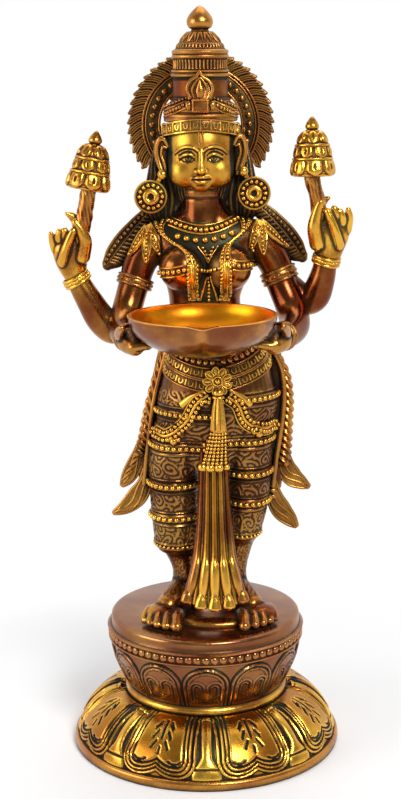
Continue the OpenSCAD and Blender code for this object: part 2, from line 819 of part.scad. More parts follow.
module crown() {
    color(gold) on_stand() translate([0, 0, crown_h]) rotate_extrude($fn = 64) polygon([[0, 0],
        [headband_r - 0.6, 0], [headband_r, 0.6], [headband_r, 4.6], [headband_r - 1, 5.2],
        [headband_r - 0.4, 6.2], [headband_r - 0.4, 8.8], [headband_r - 2, 10], [crown_r, 13],
        [crown_r, finial_h - 26], [crown_r + 1.4, finial_h - 25], [crown_r + 1.4, finial_h - 23.4],
        [crown_r, finial_h - 22.6], [crown_r + 1, finial_h - 21.6], [crown_r + 1, finial_h - 20.4],
        [crown_r - 1.4, finial_h - 19.6], [crown_r - 0.8, finial_h - 14.4], [crown_r + 0.4, finial_h - 13.4],
        [crown_r + 0.4, finial_h - 11.4], [crown_r - 2, finial_h - 10.4], [11, finial_h - 5],
        [6.5, finial_h], [0, finial_h]]);
}

// Crown's outer room in front of which the crest stands
module crown_room() {
    cylinder(r = headband_r + 0.1, h = 9, $fn = 96);
    translate([0, 0, 9]) cylinder(r1 = headband_r + 0.1, r2 = crown_r + 0.2, h = 4.4, $fn = 96);
    cylinder(r = crown_r + 1.6, h = finial_h, $fn = 96);
}

crest_w = 9;
crest_h = 26;
gem_bead_r = 2.2;

module crown_crest() {
    color(gold) on_stand() translate([0, 0, crown_h]) difference() {
        union() {
            translate([0, 1 - headband_r, 0]) rotate([90, 0, 0]) linear_extrude(4) {
                translate([0, 18]) circle(5.4, $fn = 48);
                polygon([[-4.8, 20.5], [0, crest_h + 4], [4.8, 20.5]]);
                translate([-crest_w / 2, 5.6]) square([crest_w, 9]);
            }
            for (s = [-1, 1]) translate([s * 7, 0.8 - gem_bead_r - headband_r, 10])
                sphere(gem_bead_r, $fn = 24);
            translate([0, -14, 10]) rotate([90, 0, 0]) cylinder(r = 3, h = headband_r - 12, $fn = 24);
            translate([0, -14, 18]) rotate([90, 0, 0]) cylinder(r = 3, h = headband_r - 12, $fn = 24);
        }
        crown_room();
    }
}

module crown_finial() {
    color(gold) on_stand() translate([0, 0, crown_h + finial_h]) rotate_extrude($fn = 48) polygon(concat(
        [[0, 0], [6, 0], [5.2, 2]],
        [for (i = [0 : 8]) let (t = i / 8) [5.2 + 2.6 * sin(180 * t * 0.8), 2.6 + 7 * t]],
        [[3.4, 11.4], [1.4, 13], [0, 15]]));
}

// Halo behind the head

halo_y = hair_back;
halo_h = crown_h - 3;
halo_open = 114;
leaf_step = 360 / leaf_count;
halo_start = halo_open / 2 - 90;
halo_turn = 360 - halo_open;
halo_leaves = floor(halo_turn / leaf_step);

// Half ring between radii a and b over the halo's turn
module horseshoe(a, b) {
    difference() {
        circle(b, $fn = 96);
        circle(a, $fn = 96);
        polygon([[0, 0], [b * 2 * cos(halo_start), b * 2 * sin(halo_start)], [0, -3 * b],
            [-b * 2 * cos(halo_start), b * 2 * sin(halo_start)]]);
    }
}

module halo() {
    color(gold) on_stand() translate([0, halo_y, halo_h]) rotate([90, 0, 0]) mirror([0, 0, 1]) {
        difference() {
            union() {
                linear_extrude(halo_t) horseshoe(halo_hole_r, halo_r - 4);
                translate([-halo_hole_r - 2, bar_h - halo_h - 5, 0]) cube([2 * halo_hole_r + 4, 10, halo_t]);
            }
            translate([0, bar_h - halo_h, -1]) cylinder(d = rivet_d + 2 * fit, h = halo_t + 2, $fn = 32);
        }
        linear_extrude(halo_t) for (i = [0 : halo_leaves]) rotate(halo_start + leaf_step * i)
            polygon([[halo_ring_r, -2.6], [halo_r - 3, -2.6], [halo_r, 1.4], [halo_ring_r + 3, 2.6]]);
    }
}

module halo_rivet() {
    color("silver") on_stand() translate([0, halo_y, bar_h]) rotate([-90, 0, 0]) {
        translate([0, 0, -rivet_in]) cylinder(d = rivet_d, h = rivet_in + halo_t, $fn = 32);
        translate([0, 0, halo_t]) cylinder(r1 = rivet_d, r2 = rivet_d * 0.6, h = 2.4, $fn = 32);
    }
}

// Arms

left_arm = [[-28, 0, 234, arm_r + 1], [-37, -1, 222, arm_r], [-42, -4, 206, arm_r - 0.8],
    [-46, -10, 192, arm_r - 1], [-48, -22, 184, arm_r - 1.6], [-45, -36, 182, wrist_r + 0.6],
    [-42, -46, 183, wrist_r]];
right_arm = [[32, 0, 236, arm_r + 1], [43, -1, 222, arm_r], [48.5, -3, 207, arm_r - 0.8],
    [54, -9, 193, arm_r - 0.6], [55, -20, 185, arm_r - 1], [50, -36, 182, wrist_r + 0.8],
    [44, -46, 183, wrist_r]];
left_raised = [[-45, -6, 190, arm_r - 1.4], [-53, -6, 182, arm_r - 0.4], [-61, -9, 188, arm_r - 0.8],
    [-68, -11, 200, arm_r - 2], [-75, -12, 213, wrist_r]];
right_raised = [[52, 0, 206, arm_r - 1.6], [61, 0, 198, arm_r - 0.8], [68, -3, 200, arm_r - 0.8],
    [72, -7, 211, arm_r - 2], [74.5, -9, 223, wrist_r]];

module arm_left_form() {
    limb(left_arm, 2, $fn = limb_sides);
}

module arm_right_form() {
    limb(right_arm, 2, $fn = limb_sides);
}

module arm_left() {
    color(bronze) on_stand() difference() {
        arm_left_form();
        torso_form();
    }
}

module arm_right() {
    color(bronze) on_stand() difference() {
        arm_right_form();
        torso_form();
    }
}

module raised_arm_left() {
    color(bronze) on_stand() difference() {
        limb(left_raised, 2, $fn = limb_sides);
        arm_left_form();
        armlet_room(0);
    }
}

module raised_arm_right() {
    color(bronze) on_stand() difference() {
        limb(right_raised, 2, $fn = limb_sides);
        arm_right_form();
        armlet_room(1);
    }
}

// Armlets and bangles

armlet_w = 8;
armlet_t = 1.9;
armlet_places = [[-40.6, -3, 210], [46.6, -2, 213]];
armlet_aims = [[-4, -5, -14], [6, -5, -16]];
bangle_places = [[-75, -12, 213], [74.5, -9, 223]];
bangle_aims = [[-7, -1, 13], [2.5, -2, 12]];
dish_bangle_places = [[-43.4, -41.5, 182.4], [46.8, -41.5, 182.4]];
dish_bangle_aims = [[3, -10, 1], [-6, -10, 1]];

// Band round an upper arm
module armlet() {
    inner = arm_r + 0.2;
    outer = arm_r + armlet_t;
    rotate_extrude($fn = 64) polygon([[inner, -armlet_w / 2], [outer, -armlet_w / 2],
        [outer, 1.6 - armlet_w / 2], [outer - 0.7, 2.2 - armlet_w / 2],
        [outer - 0.7, armlet_w / 2 - 2.2], [outer, armlet_w / 2 - 1.6], [outer, armlet_w / 2],
        [inner, armlet_w / 2]]);
}

module armlets() {
    color(gold) on_stand() for (i = [0, 1]) translate(armlet_places[i]) aim(armlet_aims[i]) armlet();
}

// Room for an armlet
module armlet_room(i) {
    translate(armlet_places[i]) aim(armlet_aims[i])
        cylinder(r = arm_r + armlet_t + 0.5, h = armlet_w + 0.4, center = true, $fn = 16);
}

// Double ring of the given wire radius round a wrist
module bangle(wire) {
    for (s = [-1, 1]) translate([0, 0, s * 0.9 * wire]) rotate_extrude($fn = 64)
        translate([wrist_r + wire + 0.5, 0]) circle(wire, $fn = 24);
}

// Room for a bangle of the given wire radius round a wrist
module bangle_room(place, way, wire) {
    translate(place) aim(way) difference() {
        cylinder(r = wrist_r + 2 * wire + 0.8, h = 4 * wire, center = true, $fn = 20);
        cylinder(r = wrist_r + 0.3, h = 5 * wire, center = true, $fn = 20);
    }
}

module bangle_left() {
    color(gold) on_stand() translate(bangle_places[0]) aim(bangle_aims[0]) bangle(bangle_t);
}

module bangle_right() {
    color(gold) on_stand() translate(bangle_places[1]) aim(bangle_aims[1]) bangle(bangle_t);
}

module dish_bangle_left() {
    color(gold) on_stand() translate(dish_bangle_places[0]) aim(dish_bangle_aims[0]) bangle(bangle_t * 0.7);
}

module dish_bangle_right() {
    color(gold) on_stand() translate(dish_bangle_places[1]) aim(dish_bangle_aims[1]) bangle(bangle_t * 0.7);
}

// Raised hands, with thumb and first finger round the stalk

finger_r = 3;

// Hand with its wrist at the origin, fingers up and palm to the front, side -1 or 1
module raised_hand(side) {
    hull() {
        ball([0, 0, 0, wrist_r], $fn = fine_sides);
        ball([-5 * side, -1, 16, 5.4], $fn = fine_sides);
        ball([7 * side, 0, 17, 5], $fn = fine_sides);
    }
    limb([[-2 * side, 0, 18, finger_r + 0.4], [-3 * side, -1, 27, finger_r],
        [-6 * side, -4, 33, finger_r - 0.2], [-9 * side, -7, 37, finger_r - 0.6]], 1, $fn = fine_sides);
    for (i = [0 : 2]) limb([[(3 + 3.8 * i) * side, 0, 17 - i, finger_r],
        [(4 + 4.6 * i) * side, 0, 27 - 2.5 * i, finger_r],
        [(4.5 + 4.8 * i) * side, -5, 31 - 3 * i, finger_r - 0.2],
        [(4.5 + 4.6 * i) * side, -9, 27 - 3 * i, finger_r - 0.4]], 1, $fn = 6);
    limb([[-4 * side, -3, 6, finger_r + 1.4], [-9 * side, -7, 15, finger_r + 0.8],
        [-13 * side, -9, 25, finger_r + 0.2], [-12 * side, -9, 34, finger_r - 0.4]], 1, $fn = fine_sides);
}

module raised_hand_left() {
    color(gold) on_stand() difference() {
        translate(bangle_places[0]) rotate([0, 4, 0]) raised_hand(-1);
        limb(left_raised, 2, $fn = limb_sides);
        bangle_room(bangle_places[0], bangle_aims[0], bangle_t);
        stalk_form(0, 0.2, $fn = 16);
    }
}

module raised_hand_right() {
    color(gold) on_stand() difference() {
        translate(bangle_places[1]) rotate([0, 2, 0]) raised_hand(1);
        limb(right_raised, 2, $fn = limb_sides);
        bangle_room(bangle_places[1], bangle_aims[1], bangle_t);
        stalk_form(1, 0.2, $fn = 16);
    }
}

// Lotus stalks and buds

stalk_feet = [[-69, -19, 240], [70, -17, 247]];
bud_seats = [[-67, -17, 267], [65.7, -15, 273.5]];
bud_tips = [[-60.7, -15, 301], [65.2, -13, 307]];

module stalk_form(i, grow = 0) {
    v = bud_seats[i] - stalk_feet[i];
    translate(stalk_feet[i]) aim(v) cylinder(r1 = stalk_r * 0.72 + grow, r2 = stalk_r + grow, h = norm(v));
}

module stalk_left() {
    color(copper) on_stand() difference() {
        stalk_form(0, $fn = 48);
        bud_foot(0);
    }
}

module stalk_right() {
    color(copper) on_stand() difference() {
        stalk_form(1, $fn = 48);
        bud_foot(1);
    }
}

// Half space above the seat of a bud
module bud_foot(i) {
    translate(bud_seats[i]) aim(bud_tips[i] - bud_seats[i]) cylinder(r = 20, h = 20, $fn = 32);
}

// Bud with two tiers of petals, a dome and a tip
module lotus_bud(i) {
    translate(bud_seats[i]) aim(bud_tips[i] - bud_seats[i]) rotate_extrude($fn = 64) polygon([[0, 0],
        [stalk_r + 1, 0], [bud_r - 1.5, 1], [bud_r, 0.1 * bud_h], [bud_r - 0.6, 0.3 * bud_h],
        [bud_r - 2, 0.33 * bud_h], [bud_r - 1, 0.37 * bud_h], [bud_r - 2.4, 0.55 * bud_h],
        [bud_r - 4, 0.58 * bud_h], [bud_r - 3.4, 0.62 * bud_h], [bud_r - 6, 0.75 * bud_h],
        [3.6, 0.82 * bud_h], [2.6, 0.84 * bud_h], [3.4, 0.9 * bud_h], [0, bud_h]]);
}

module bud_left() {
    color(gold) on_stand() lotus_bud(0);
}

module bud_right() {
    color(gold) on_stand() lotus_bud(1);
}

// Lamp dish and the hands under it

bowl_steps = 12;
lip_w = 9;
body_clear = 2;
bust_front = breast_r - breast_y + 4;

// Front of the body with its ornaments at height h
function body_front(h) = lookup(h, [[bust_h - breast_r - 2, 20], [bust_h - breast_r + 4, bust_front],
    [bust_h + breast_r, bust_front]]);

// Middle of the bowl, in front of the body
dish_out = max(dish_reach, dish_r + body_front(dish_rim_h) + body_clear);

// Half-ellipse outline of the bowl
function bowl(r, d) = [for (i = [0 : bowl_steps]) let (t = 90 * i / bowl_steps) [r * sin(t), -d * cos(t)]];

module lamp_dish() {
    inner = bowl(dish_r - dish_wall, dish_depth - dish_wall);
    color(copper) on_stand() translate([0, -dish_out, dish_rim_h]) difference() {
        union() {
            rotate_extrude($fn = 96) polygon(concat(bowl(dish_r, dish_depth),
                [for (i = [bowl_steps : -1 : 0]) inner[i]]));
            difference() {
                translate([0, 0, -4]) linear_extrude(4)
                    polygon([[-lip_w, 3 - dish_r], [0, -dish_r - lip_len], [lip_w, 3 - dish_r]]);
                rotate_extrude($fn = 96) polygon(concat([[0, 1]], inner, [[dish_r - dish_wall, 1]]));
            }
        }
        translate([0, 0, -2]) linear_extrude(4)
            polygon([[-lip_w + 5, 6 - dish_r], [0, 2.4 - dish_r - lip_len], [lip_w - 5, 6 - dish_r]]);
    }
}

// Room for the dish with a clearance
module dish_room() {
    translate([0, -dish_out, dish_rim_h]) rotate_extrude($fn = 48)
        polygon(concat(bowl(dish_r + gap, dish_depth + gap), [[dish_r + gap, 10], [0, 10]]));
}

// Hand under the bowl, side -1 or 1
module dish_hand(side, wrist) {
    edge = side * (dish_r - 4);
    deep = dish_rim_h - dish_depth;
    hull() {
        ball([wrist.x, wrist.y, wrist.z, wrist_r - 0.4], $fn = fine_sides);
        ball([edge + side * 2, -dish_out + 6, dish_rim_h - 11, 6], $fn = fine_sides);
        ball([edge - side * 4, -dish_out + 9, deep + 6, 5], $fn = fine_sides);
    }
    for (i = [0 : 3]) limb([[edge + side, -dish_out + 9 - 4.4 * i, deep + 11, finger_r],
        [edge - side * 5, -dish_out + 8 - 4.6 * i, deep + 5, finger_r],
        [edge - side * 12, -dish_out + 8 - 4.8 * i, deep + 1.6, finger_r - 0.5]], 1, [0, 1, 0],
        $fn = fine_sides);
    limb([[wrist.x - side * 2, wrist.y - 2, wrist.z + 4, finger_r + 0.8],
        [edge + side * 3, -dish_out + 15, dish_rim_h - 7, finger_r],
        [edge + side * 6, -dish_out + 6, dish_rim_h - 4, finger_r - 0.4]], 1, $fn = fine_sides);
}

module dish_hand_left() {
    color(copper) on_stand() difference() {
        dish_hand(-1, left_arm[6]);
        dish_room();
        arm_left_form();
        bangle_room(dish_bangle_places[0], dish_bangle_aims[0], bangle_t * 0.7);
    }
}

module dish_hand_right() {
    color(copper) on_stand() difference() {
        dish_hand(1, right_arm[6]);
        dish_room();
        arm_right_form();
        bangle_room(dish_bangle_places[1], dish_bangle_aims[1], bangle_t * 0.7);
    }
}

lotus_base();
drum();
tie_rod();
tie_washer();
tie_nut();
foot_studs();
foot_nuts();
lower_body();
front_pleat();
sash_left();
sash_right();
waist_belt();
belt_rosette();
girdle_swags();
girdle_tassel();
torso();
necklace();
garland();
shoulder_leaves_left();
shoulder_leaves_right();
shoulder_flap_left();
shoulder_flap_right();
head();
hair();
ear_disc_left();
ear_disc_right();
crown();
crown_crest();
crown_finial();
halo();
halo_rivet();
arm_left();
arm_right();
raised_arm_left();
raised_arm_right();
armlets();
bangle_left();
bangle_right();
dish_bangle_left();
dish_bangle_right();
raised_hand_left();
raised_hand_right();
stalk_left();
stalk_right();
bud_left();
bud_right();
dish_hand_left();
dish_hand_right();
lamp_dish();
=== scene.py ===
# %% [markdown]
# # A standing oil lamp figure in cast brass
#
# The object is a four-armed standing figure that holds a shallow oil dish. It is cast in brass, coppered,
# blackened in its recesses and rubbed bright on everything that stands proud. Each cell below makes one
# part of it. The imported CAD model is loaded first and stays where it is: it says where everything goes.

# %% Load the fixed frame
import math

import bmesh
import bpy
import numpy as np
from mathutils import Matrix, Vector
from mathutils.bvhtree import BVHTree


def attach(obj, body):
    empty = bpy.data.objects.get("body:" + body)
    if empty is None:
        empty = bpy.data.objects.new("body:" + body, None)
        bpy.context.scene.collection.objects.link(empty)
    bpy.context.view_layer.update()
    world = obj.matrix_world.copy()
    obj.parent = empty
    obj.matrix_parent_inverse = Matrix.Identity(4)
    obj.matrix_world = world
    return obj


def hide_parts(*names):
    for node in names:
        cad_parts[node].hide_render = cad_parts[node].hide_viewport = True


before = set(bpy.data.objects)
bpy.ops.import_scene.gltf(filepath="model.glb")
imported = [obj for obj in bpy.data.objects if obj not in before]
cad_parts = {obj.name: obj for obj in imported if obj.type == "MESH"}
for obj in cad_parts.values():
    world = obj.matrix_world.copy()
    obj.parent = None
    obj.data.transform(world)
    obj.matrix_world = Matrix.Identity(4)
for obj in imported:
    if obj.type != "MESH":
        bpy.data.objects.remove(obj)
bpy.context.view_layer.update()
scene = bpy.context.scene
MM = 0.001
STAND = 85.0  # top of the drum in millimetres, where the figure stands
print("frame with", len(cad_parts), "nodes")

# %% [markdown]
# ## The camera
#
# The view is a portrait lens a little above the figure's shoulders, turned down by about twelve degrees.
# The same numbers also serve as a pointing tool: a ray through a picture position finds the place on the
# figure where an ornament sits.

# %% Camera and pointing ray
PICTURE_W, PICTURE_H = 401, 799
FOCAL_PX = 1538.5
SENSOR = 36.0
EYE = np.array([0.0, -927.8, 424.45])
TILT, ROLL, YAW = 0.216, math.radians(-0.557), 0.00185

turn = (Matrix.Rotation(YAW, 3, "Z") @ Matrix.Rotation(math.pi / 2 - TILT, 3, "X")
        @ Matrix.Rotation(ROLL, 3, "Z"))
camera_data = bpy.data.cameras.new("view_camera")
camera_data.sensor_width = SENSOR
camera_data.lens = SENSOR * FOCAL_PX / PICTURE_H
camera_data.clip_end = 20.0
camera = bpy.data.objects.new("view_camera", camera_data)
camera.matrix_world = Matrix.Translation(Vector(EYE) * MM) @ turn.to_4x4()
scene.collection.objects.link(camera)
scene.camera = camera
scene.view_settings.view_transform = "Standard"


def sight(u, v):
    """Direction of the ray through picture position u, v."""
    ray = Vector(((u - PICTURE_W / 2) / FOCAL_PX, (PICTURE_H / 2 - v) / FOCAL_PX, -1.0))
    return (turn @ ray).normalized()


print("lens", round(camera_data.lens, 1), "mm")

# %% [markdown]
# ## Small helpers for node trees
#
# Materials, floor and surround are all node trees, and these few functions keep them short to write. The
# last one tells rays that look at something, from the camera, off metal or through glass, from rays that
# light it.

# %% Node helpers


def node(tree, kind, **inputs):
    """New node with values set on its inputs."""
    made = tree.nodes.new(kind)
    for key, value in inputs.items():
        made.inputs[key].default_value = value
    return made


def wire(tree, *pairs):
    """Link each output to the input beside it."""
    for start, end in pairs:
        tree.links.new(start, end)


def ramp(tree, value, low, high):
    """0 at low and 1 at high, smooth between."""
    made = tree.nodes.new("ShaderNodeMapRange")
    made.interpolation_type = "SMOOTHSTEP"
    made.inputs["From Min"].default_value = min(low, high)
    made.inputs["From Max"].default_value = max(low, high)
    made.inputs["To Min"].default_value = 0.0 if low < high else 1.0
    made.inputs["To Max"].default_value = 1.0 if low < high else 0.0
    tree.links.new(value, made.inputs["Value"])
    return made.outputs["Result"]


def sums(tree, operation, first, second):
    """Math node on two sockets or numbers."""
    made = tree.nodes.new("ShaderNodeMath")
    made.operation = operation
    for slot, value in enumerate((first, second)):
        if isinstance(value, (int, float)):
            made.inputs[slot].default_value = value
        else:
            tree.links.new(value, made.inputs[slot])
    return made.outputs[0]


def blend(tree, share, first, second):
    """Colour between first and second."""
    made = tree.nodes.new("ShaderNodeMix")
    made.data_type = "RGBA"
    wire(tree, (share, made.inputs[0]), (first, made.inputs[6]), (second, made.inputs[7]))
    return made.outputs[2]


def looking(tree):
    """1 for a camera ray, a reflected ray or a ray through glass, otherwise 0."""
    path = tree.nodes.new("ShaderNodeLightPath").outputs
    look = sums(tree, "MAXIMUM", path["Is Camera Ray"], path["Is Glossy Ray"])
    return sums(tree, "MAXIMUM", look, path["Is Transmission Ray"])


print("node helpers ready")

# %% [markdown]
# ## Floor and light
#
# A pale floor, a pale surround and three large soft lamps are enough for metal, because what metal shows is
# mostly what stands around it. The surround is white behind the figure and darker towards the front, so
# that round forms get a bright edge and a dark middle.

# %% Floor
FLOOR_SIZE = 6.0
FADE_NEAR, FADE_FAR = 0.10, 0.28
floor_bm = bmesh.new()
bmesh.ops.create_grid(floor_bm, x_segments=1, y_segments=1, size=FLOOR_SIZE)
floor_mesh = bpy.data.meshes.new("studio_floor")
floor_bm.to_mesh(floor_mesh)
floor_bm.free()
floor = bpy.data.objects.new("studio_floor", floor_mesh)
scene.collection.objects.link(floor)
floor_paint = bpy.data.materials.new("floor_paint")
floor_paint.use_nodes = True
floor_tree = floor_paint.node_tree
floor_shader = floor_tree.nodes["Principled BSDF"]
floor_shader.inputs["Base Color"].default_value = (0.93, 0.93, 0.93, 1)
floor_shader.inputs["Roughness"].default_value = 0.9
floor_place = floor_tree.nodes.new("ShaderNodeTexCoord")
floor_far = floor_tree.nodes.new("ShaderNodeVectorMath")
floor_far.operation = "LENGTH"
floor_fade = node(floor_tree, "ShaderNodeMapRange", **{"From Min": FADE_NEAR, "From Max": FADE_FAR})
floor_glow = floor_tree.nodes.new("ShaderNodeEmission")
floor_mix = floor_tree.nodes.new("ShaderNodeMixShader")
floor_share = sums(floor_tree, "MULTIPLY", floor_fade.outputs["Result"], looking(floor_tree))
wire(floor_tree,
     (floor_place.outputs["Object"], floor_far.inputs[0]),
     (floor_far.outputs["Value"], floor_fade.inputs["Value"]),
     (floor_share, floor_mix.inputs["Fac"]),
     (floor_shader.outputs["BSDF"], floor_mix.inputs[1]),
     (floor_glow.outputs["Emission"], floor_mix.inputs[2]),
     (floor_mix.outputs["Shader"], floor_tree.nodes["Material Output"].inputs["Surface"]))
floor_mesh.materials.append(floor_paint)
print("floor", 2 * FLOOR_SIZE, "m wide")

# %% [markdown]
# The surround has two strengths. Rays that light the figure find a mild grey, and rays that look find
# white, which metal sees dimmed towards the front. An image of a studio could do the same, but a ramp over
# the direction is easier to steer.

# %% Surround
FRONT_EDGE, FRONT_DIM = 0.45, 0.74
world = bpy.data.worlds.new("studio")
scene.world = world
world.use_nodes = True
sky = world.node_tree
sky.nodes.clear()
sky_out = sky.nodes.new("ShaderNodeOutputWorld")
sky_light = node(sky, "ShaderNodeBackground", Color=(0.62, 0.62, 0.63, 1), Strength=0.55)
sky_seen = node(sky, "ShaderNodeBackground", Color=(1, 1, 1, 1))
sky_place = sky.nodes.new("ShaderNodeTexCoord")
sky_way = sky.nodes.new("ShaderNodeSeparateXYZ")
front = ramp(sky, sky_way.outputs["Y"], FRONT_EDGE, -FRONT_EDGE)
direct = sky.nodes.new("ShaderNodeLightPath").outputs["Is Camera Ray"]
mirrored = sums(sky, "SUBTRACT", 1.0, direct)
dimmed = sums(sky, "MULTIPLY", sums(sky, "MULTIPLY", front, mirrored), FRONT_DIM)
sky_mix = sky.nodes.new("ShaderNodeMixShader")
wire(sky,
     (sky_place.outputs["Object"], sky_way.inputs[0]),
     (sums(sky, "SUBTRACT", 1.0, dimmed), sky_seen.inputs["Strength"]),
     (looking(sky), sky_mix.inputs["Fac"]),
     (sky_light.outputs["Background"], sky_mix.inputs[1]),
     (sky_seen.outputs["Background"], sky_mix.inputs[2]),
     (sky_mix.outputs["Shader"], sky_out.inputs["Surface"]))
print("surround with", len(sky.nodes), "nodes")

# %% [markdown]
# Three square lamps give the long soft glints of a window: one in front, one at the side, one from above.

# %% Lamps
LAMP_AIM = Vector((0, 0, 0.25))


def soft_lamp(name, place, size, power):
    """Large square lamp that faces the middle of the figure."""
    data = bpy.data.lights.new(name, "AREA")
    data.shape = "SQUARE"
    data.size = size
    data.energy = power
    lamp = bpy.data.objects.new(name, data)
    lamp.location = place
    lamp.rotation_euler = (LAMP_AIM - Vector(place)).to_track_quat("-Z", "Y").to_euler()
    scene.collection.objects.link(lamp)


soft_lamp("key_lamp", (0.55, -1.15, 1.15), 0.5, 19.0)
soft_lamp("side_lamp", (-1.3, -0.55, 0.6), 0.9, 9.0)
soft_lamp("top_lamp", (0.1, 0.5, 1.7), 1.2, 9.0)
print("lamps", [light.name for light in bpy.data.lights])

# %% [markdown]
# ## The aged finish
#
# Foundries finish such a figure in three tones: a red-brown copper wash on the plain skin, a green-black
# stain that stays in the recesses, and bright brass where the buff has been over the raised work. One node
# group gives all three. It reads an attribute called relief that every piece carries, 0 in a groove and 1
# on a crest, and how open the place is to its surroundings. Places that are shut in darken with the stain
# colour too, which is partly patina and partly painted shade.

# %% Node group for the aged finish
aged = bpy.data.node_groups.new("aged_finish", "ShaderNodeTree")
for label in ("Plain", "Rubbed", "Stain"):
    aged.interface.new_socket(label, in_out="INPUT", socket_type="NodeSocketColor")
for label in ("Relief", "Open", "Roughness", "Cut Reach", "Shade Reach"):
    aged.interface.new_socket(label, in_out="INPUT", socket_type="NodeSocketFloat")
aged.interface.new_socket("Color", in_out="OUTPUT", socket_type="NodeSocketColor")
for label in ("Roughness", "Metallic", "Height"):
    aged.interface.new_socket(label, in_out="OUTPUT", socket_type="NodeSocketFloat")

given = aged.nodes.new("NodeGroupInput").outputs
place = aged.nodes.new("ShaderNodeTexCoord").outputs["Object"]
cloud = node(aged, "ShaderNodeTexNoise", Scale=42.0, Detail=3.0)
grain = node(aged, "ShaderNodeTexNoise", Scale=520.0, Detail=4.0, Roughness=0.65)
wire(aged, (place, cloud.inputs["Vector"]), (place, grain.inputs["Vector"]))
speck = sums(aged, "SUBTRACT", grain.outputs["Fac"], 0.5)
drift = sums(aged, "SUBTRACT", cloud.outputs["Fac"], 0.5)


def varied(base, noise, amount):
    """Base with a share of a noise added."""
    return sums(aged, "ADD", base, sums(aged, "MULTIPLY", noise, amount))


worn = varied(given["Relief"], speck, 0.16)
groove = ramp(aged, varied(worn, drift, 0.10), 0.46, 0.28)
# Shut places, as ambient occlusion finds them, darken with the stain colour: partly patina, partly painted
# shade.
shut = ramp(aged, varied(given["Open"], speck, 0.25), 0.80, 0.36)
cut_stain_and_shade = sums(aged, "MULTIPLY", groove, given["Cut Reach"])
# This mask holds both the stain in grooves and the painted shade in shut places.
stain_and_shade = sums(aged, "MAXIMUM", cut_stain_and_shade, sums(aged, "MULTIPLY", shut, given["Shade Reach"]))
rubbed = ramp(aged, varied(worn, drift, 0.55), 0.52, 0.80)
tone = aged.nodes.new("ShaderNodeHueSaturation")
# The crust colour tints the stain and the painted shade alike.
crust_and_shade = aged.nodes.new("ShaderNodeRGB").outputs[0]
crust_and_shade.default_value = (0.030, 0.035, 0.019, 1)
bloom = ramp(aged, cloud.outputs["Fac"], 0.50, 0.68)
stained_and_shaded = blend(aged, bloom, given["Stain"], crust_and_shade)
dulled = varied(given["Roughness"], stain_and_shade, 0.28)
group_out = aged.nodes.new("NodeGroupOutput").inputs
wire(aged,
     (blend(aged, rubbed, given["Plain"], given["Rubbed"]), tone.inputs["Color"]),
     (varied(1.0, drift, 0.9), tone.inputs["Value"]),
     (varied(0.5, drift, 0.06), tone.inputs["Hue"]),
     (blend(aged, stain_and_shade, tone.outputs["Color"], stained_and_shaded), group_out["Color"]),
     (varied(dulled, speck, 0.14), group_out["Roughness"]),
     (varied(1.0, stain_and_shade, -0.6), group_out["Metallic"]),
     (sums(aged, "MULTIPLY", grain.outputs["Fac"], 0.00012), group_out["Height"]))
print("finish group with", len(aged.nodes), "nodes")

# %% [markdown]
# Each finish then only chooses its three tones, its gloss, how far the stain and the painted shade spread
# and how pitted it is.

# %% Finishes
STAIN_AND_SHADE = (0.014, 0.012, 0.006)
OPEN_REACH = 0.009


def finish(name, plain, rubbed, gloss, reach, shade, pitted, stain_and_shade=STAIN_AND_SHADE, even=False):
    """Metal that shows its plain tone, a rubbed tone on crests and a stain in recesses, with painted shade in
    shut places.

    Reach is the stain's strength in cuts. Shade is the strength of the darkening in shut places, which is
    partly patina and partly painted shade. An even finish takes the same relief everywhere, for pieces that
    carry no attribute."""
    made = bpy.data.materials.new(name)
    made.use_nodes = True
    tree = made.node_tree
    shader = tree.nodes["Principled BSDF"]
    cover = tree.nodes.new("ShaderNodeGroup")
    cover.node_tree = aged
    for label, colour in (("Plain", plain), ("Rubbed", rubbed), ("Stain", stain_and_shade)):
        cover.inputs[label].default_value = (*colour, 1)
    for label, value in (("Roughness", gloss), ("Cut Reach", reach), ("Shade Reach", shade), ("Relief", 0.5)):
        cover.inputs[label].default_value = value
    if not even:
        worked = tree.nodes.new("ShaderNodeAttribute")
        worked.attribute_name = "relief"
        wire(tree, (worked.outputs["Fac"], cover.inputs["Relief"]))
    # Ambient occlusion finds shut places, which the group darkens: partly patina, partly painted shade.
    around = node(tree, "ShaderNodeAmbientOcclusion", Distance=OPEN_REACH)
    around.samples = 6
    pits = node(tree, "ShaderNodeBump", Strength=pitted, Distance=1.0)
    wire(tree,
         (around.outputs["AO"], cover.inputs["Open"]),
         (cover.outputs["Height"], pits.inputs["Height"]),
         (cover.outputs["Color"], shader.inputs["Base Color"]),
         (cover.outputs["Roughness"], shader.inputs["Roughness"]),
         (cover.outputs["Metallic"], shader.inputs["Metallic"]),
         (pits.outputs["Normal"], shader.inputs["Normal"]))
    shader.inputs["Specular IOR Level"].default_value = 0.2
    return made


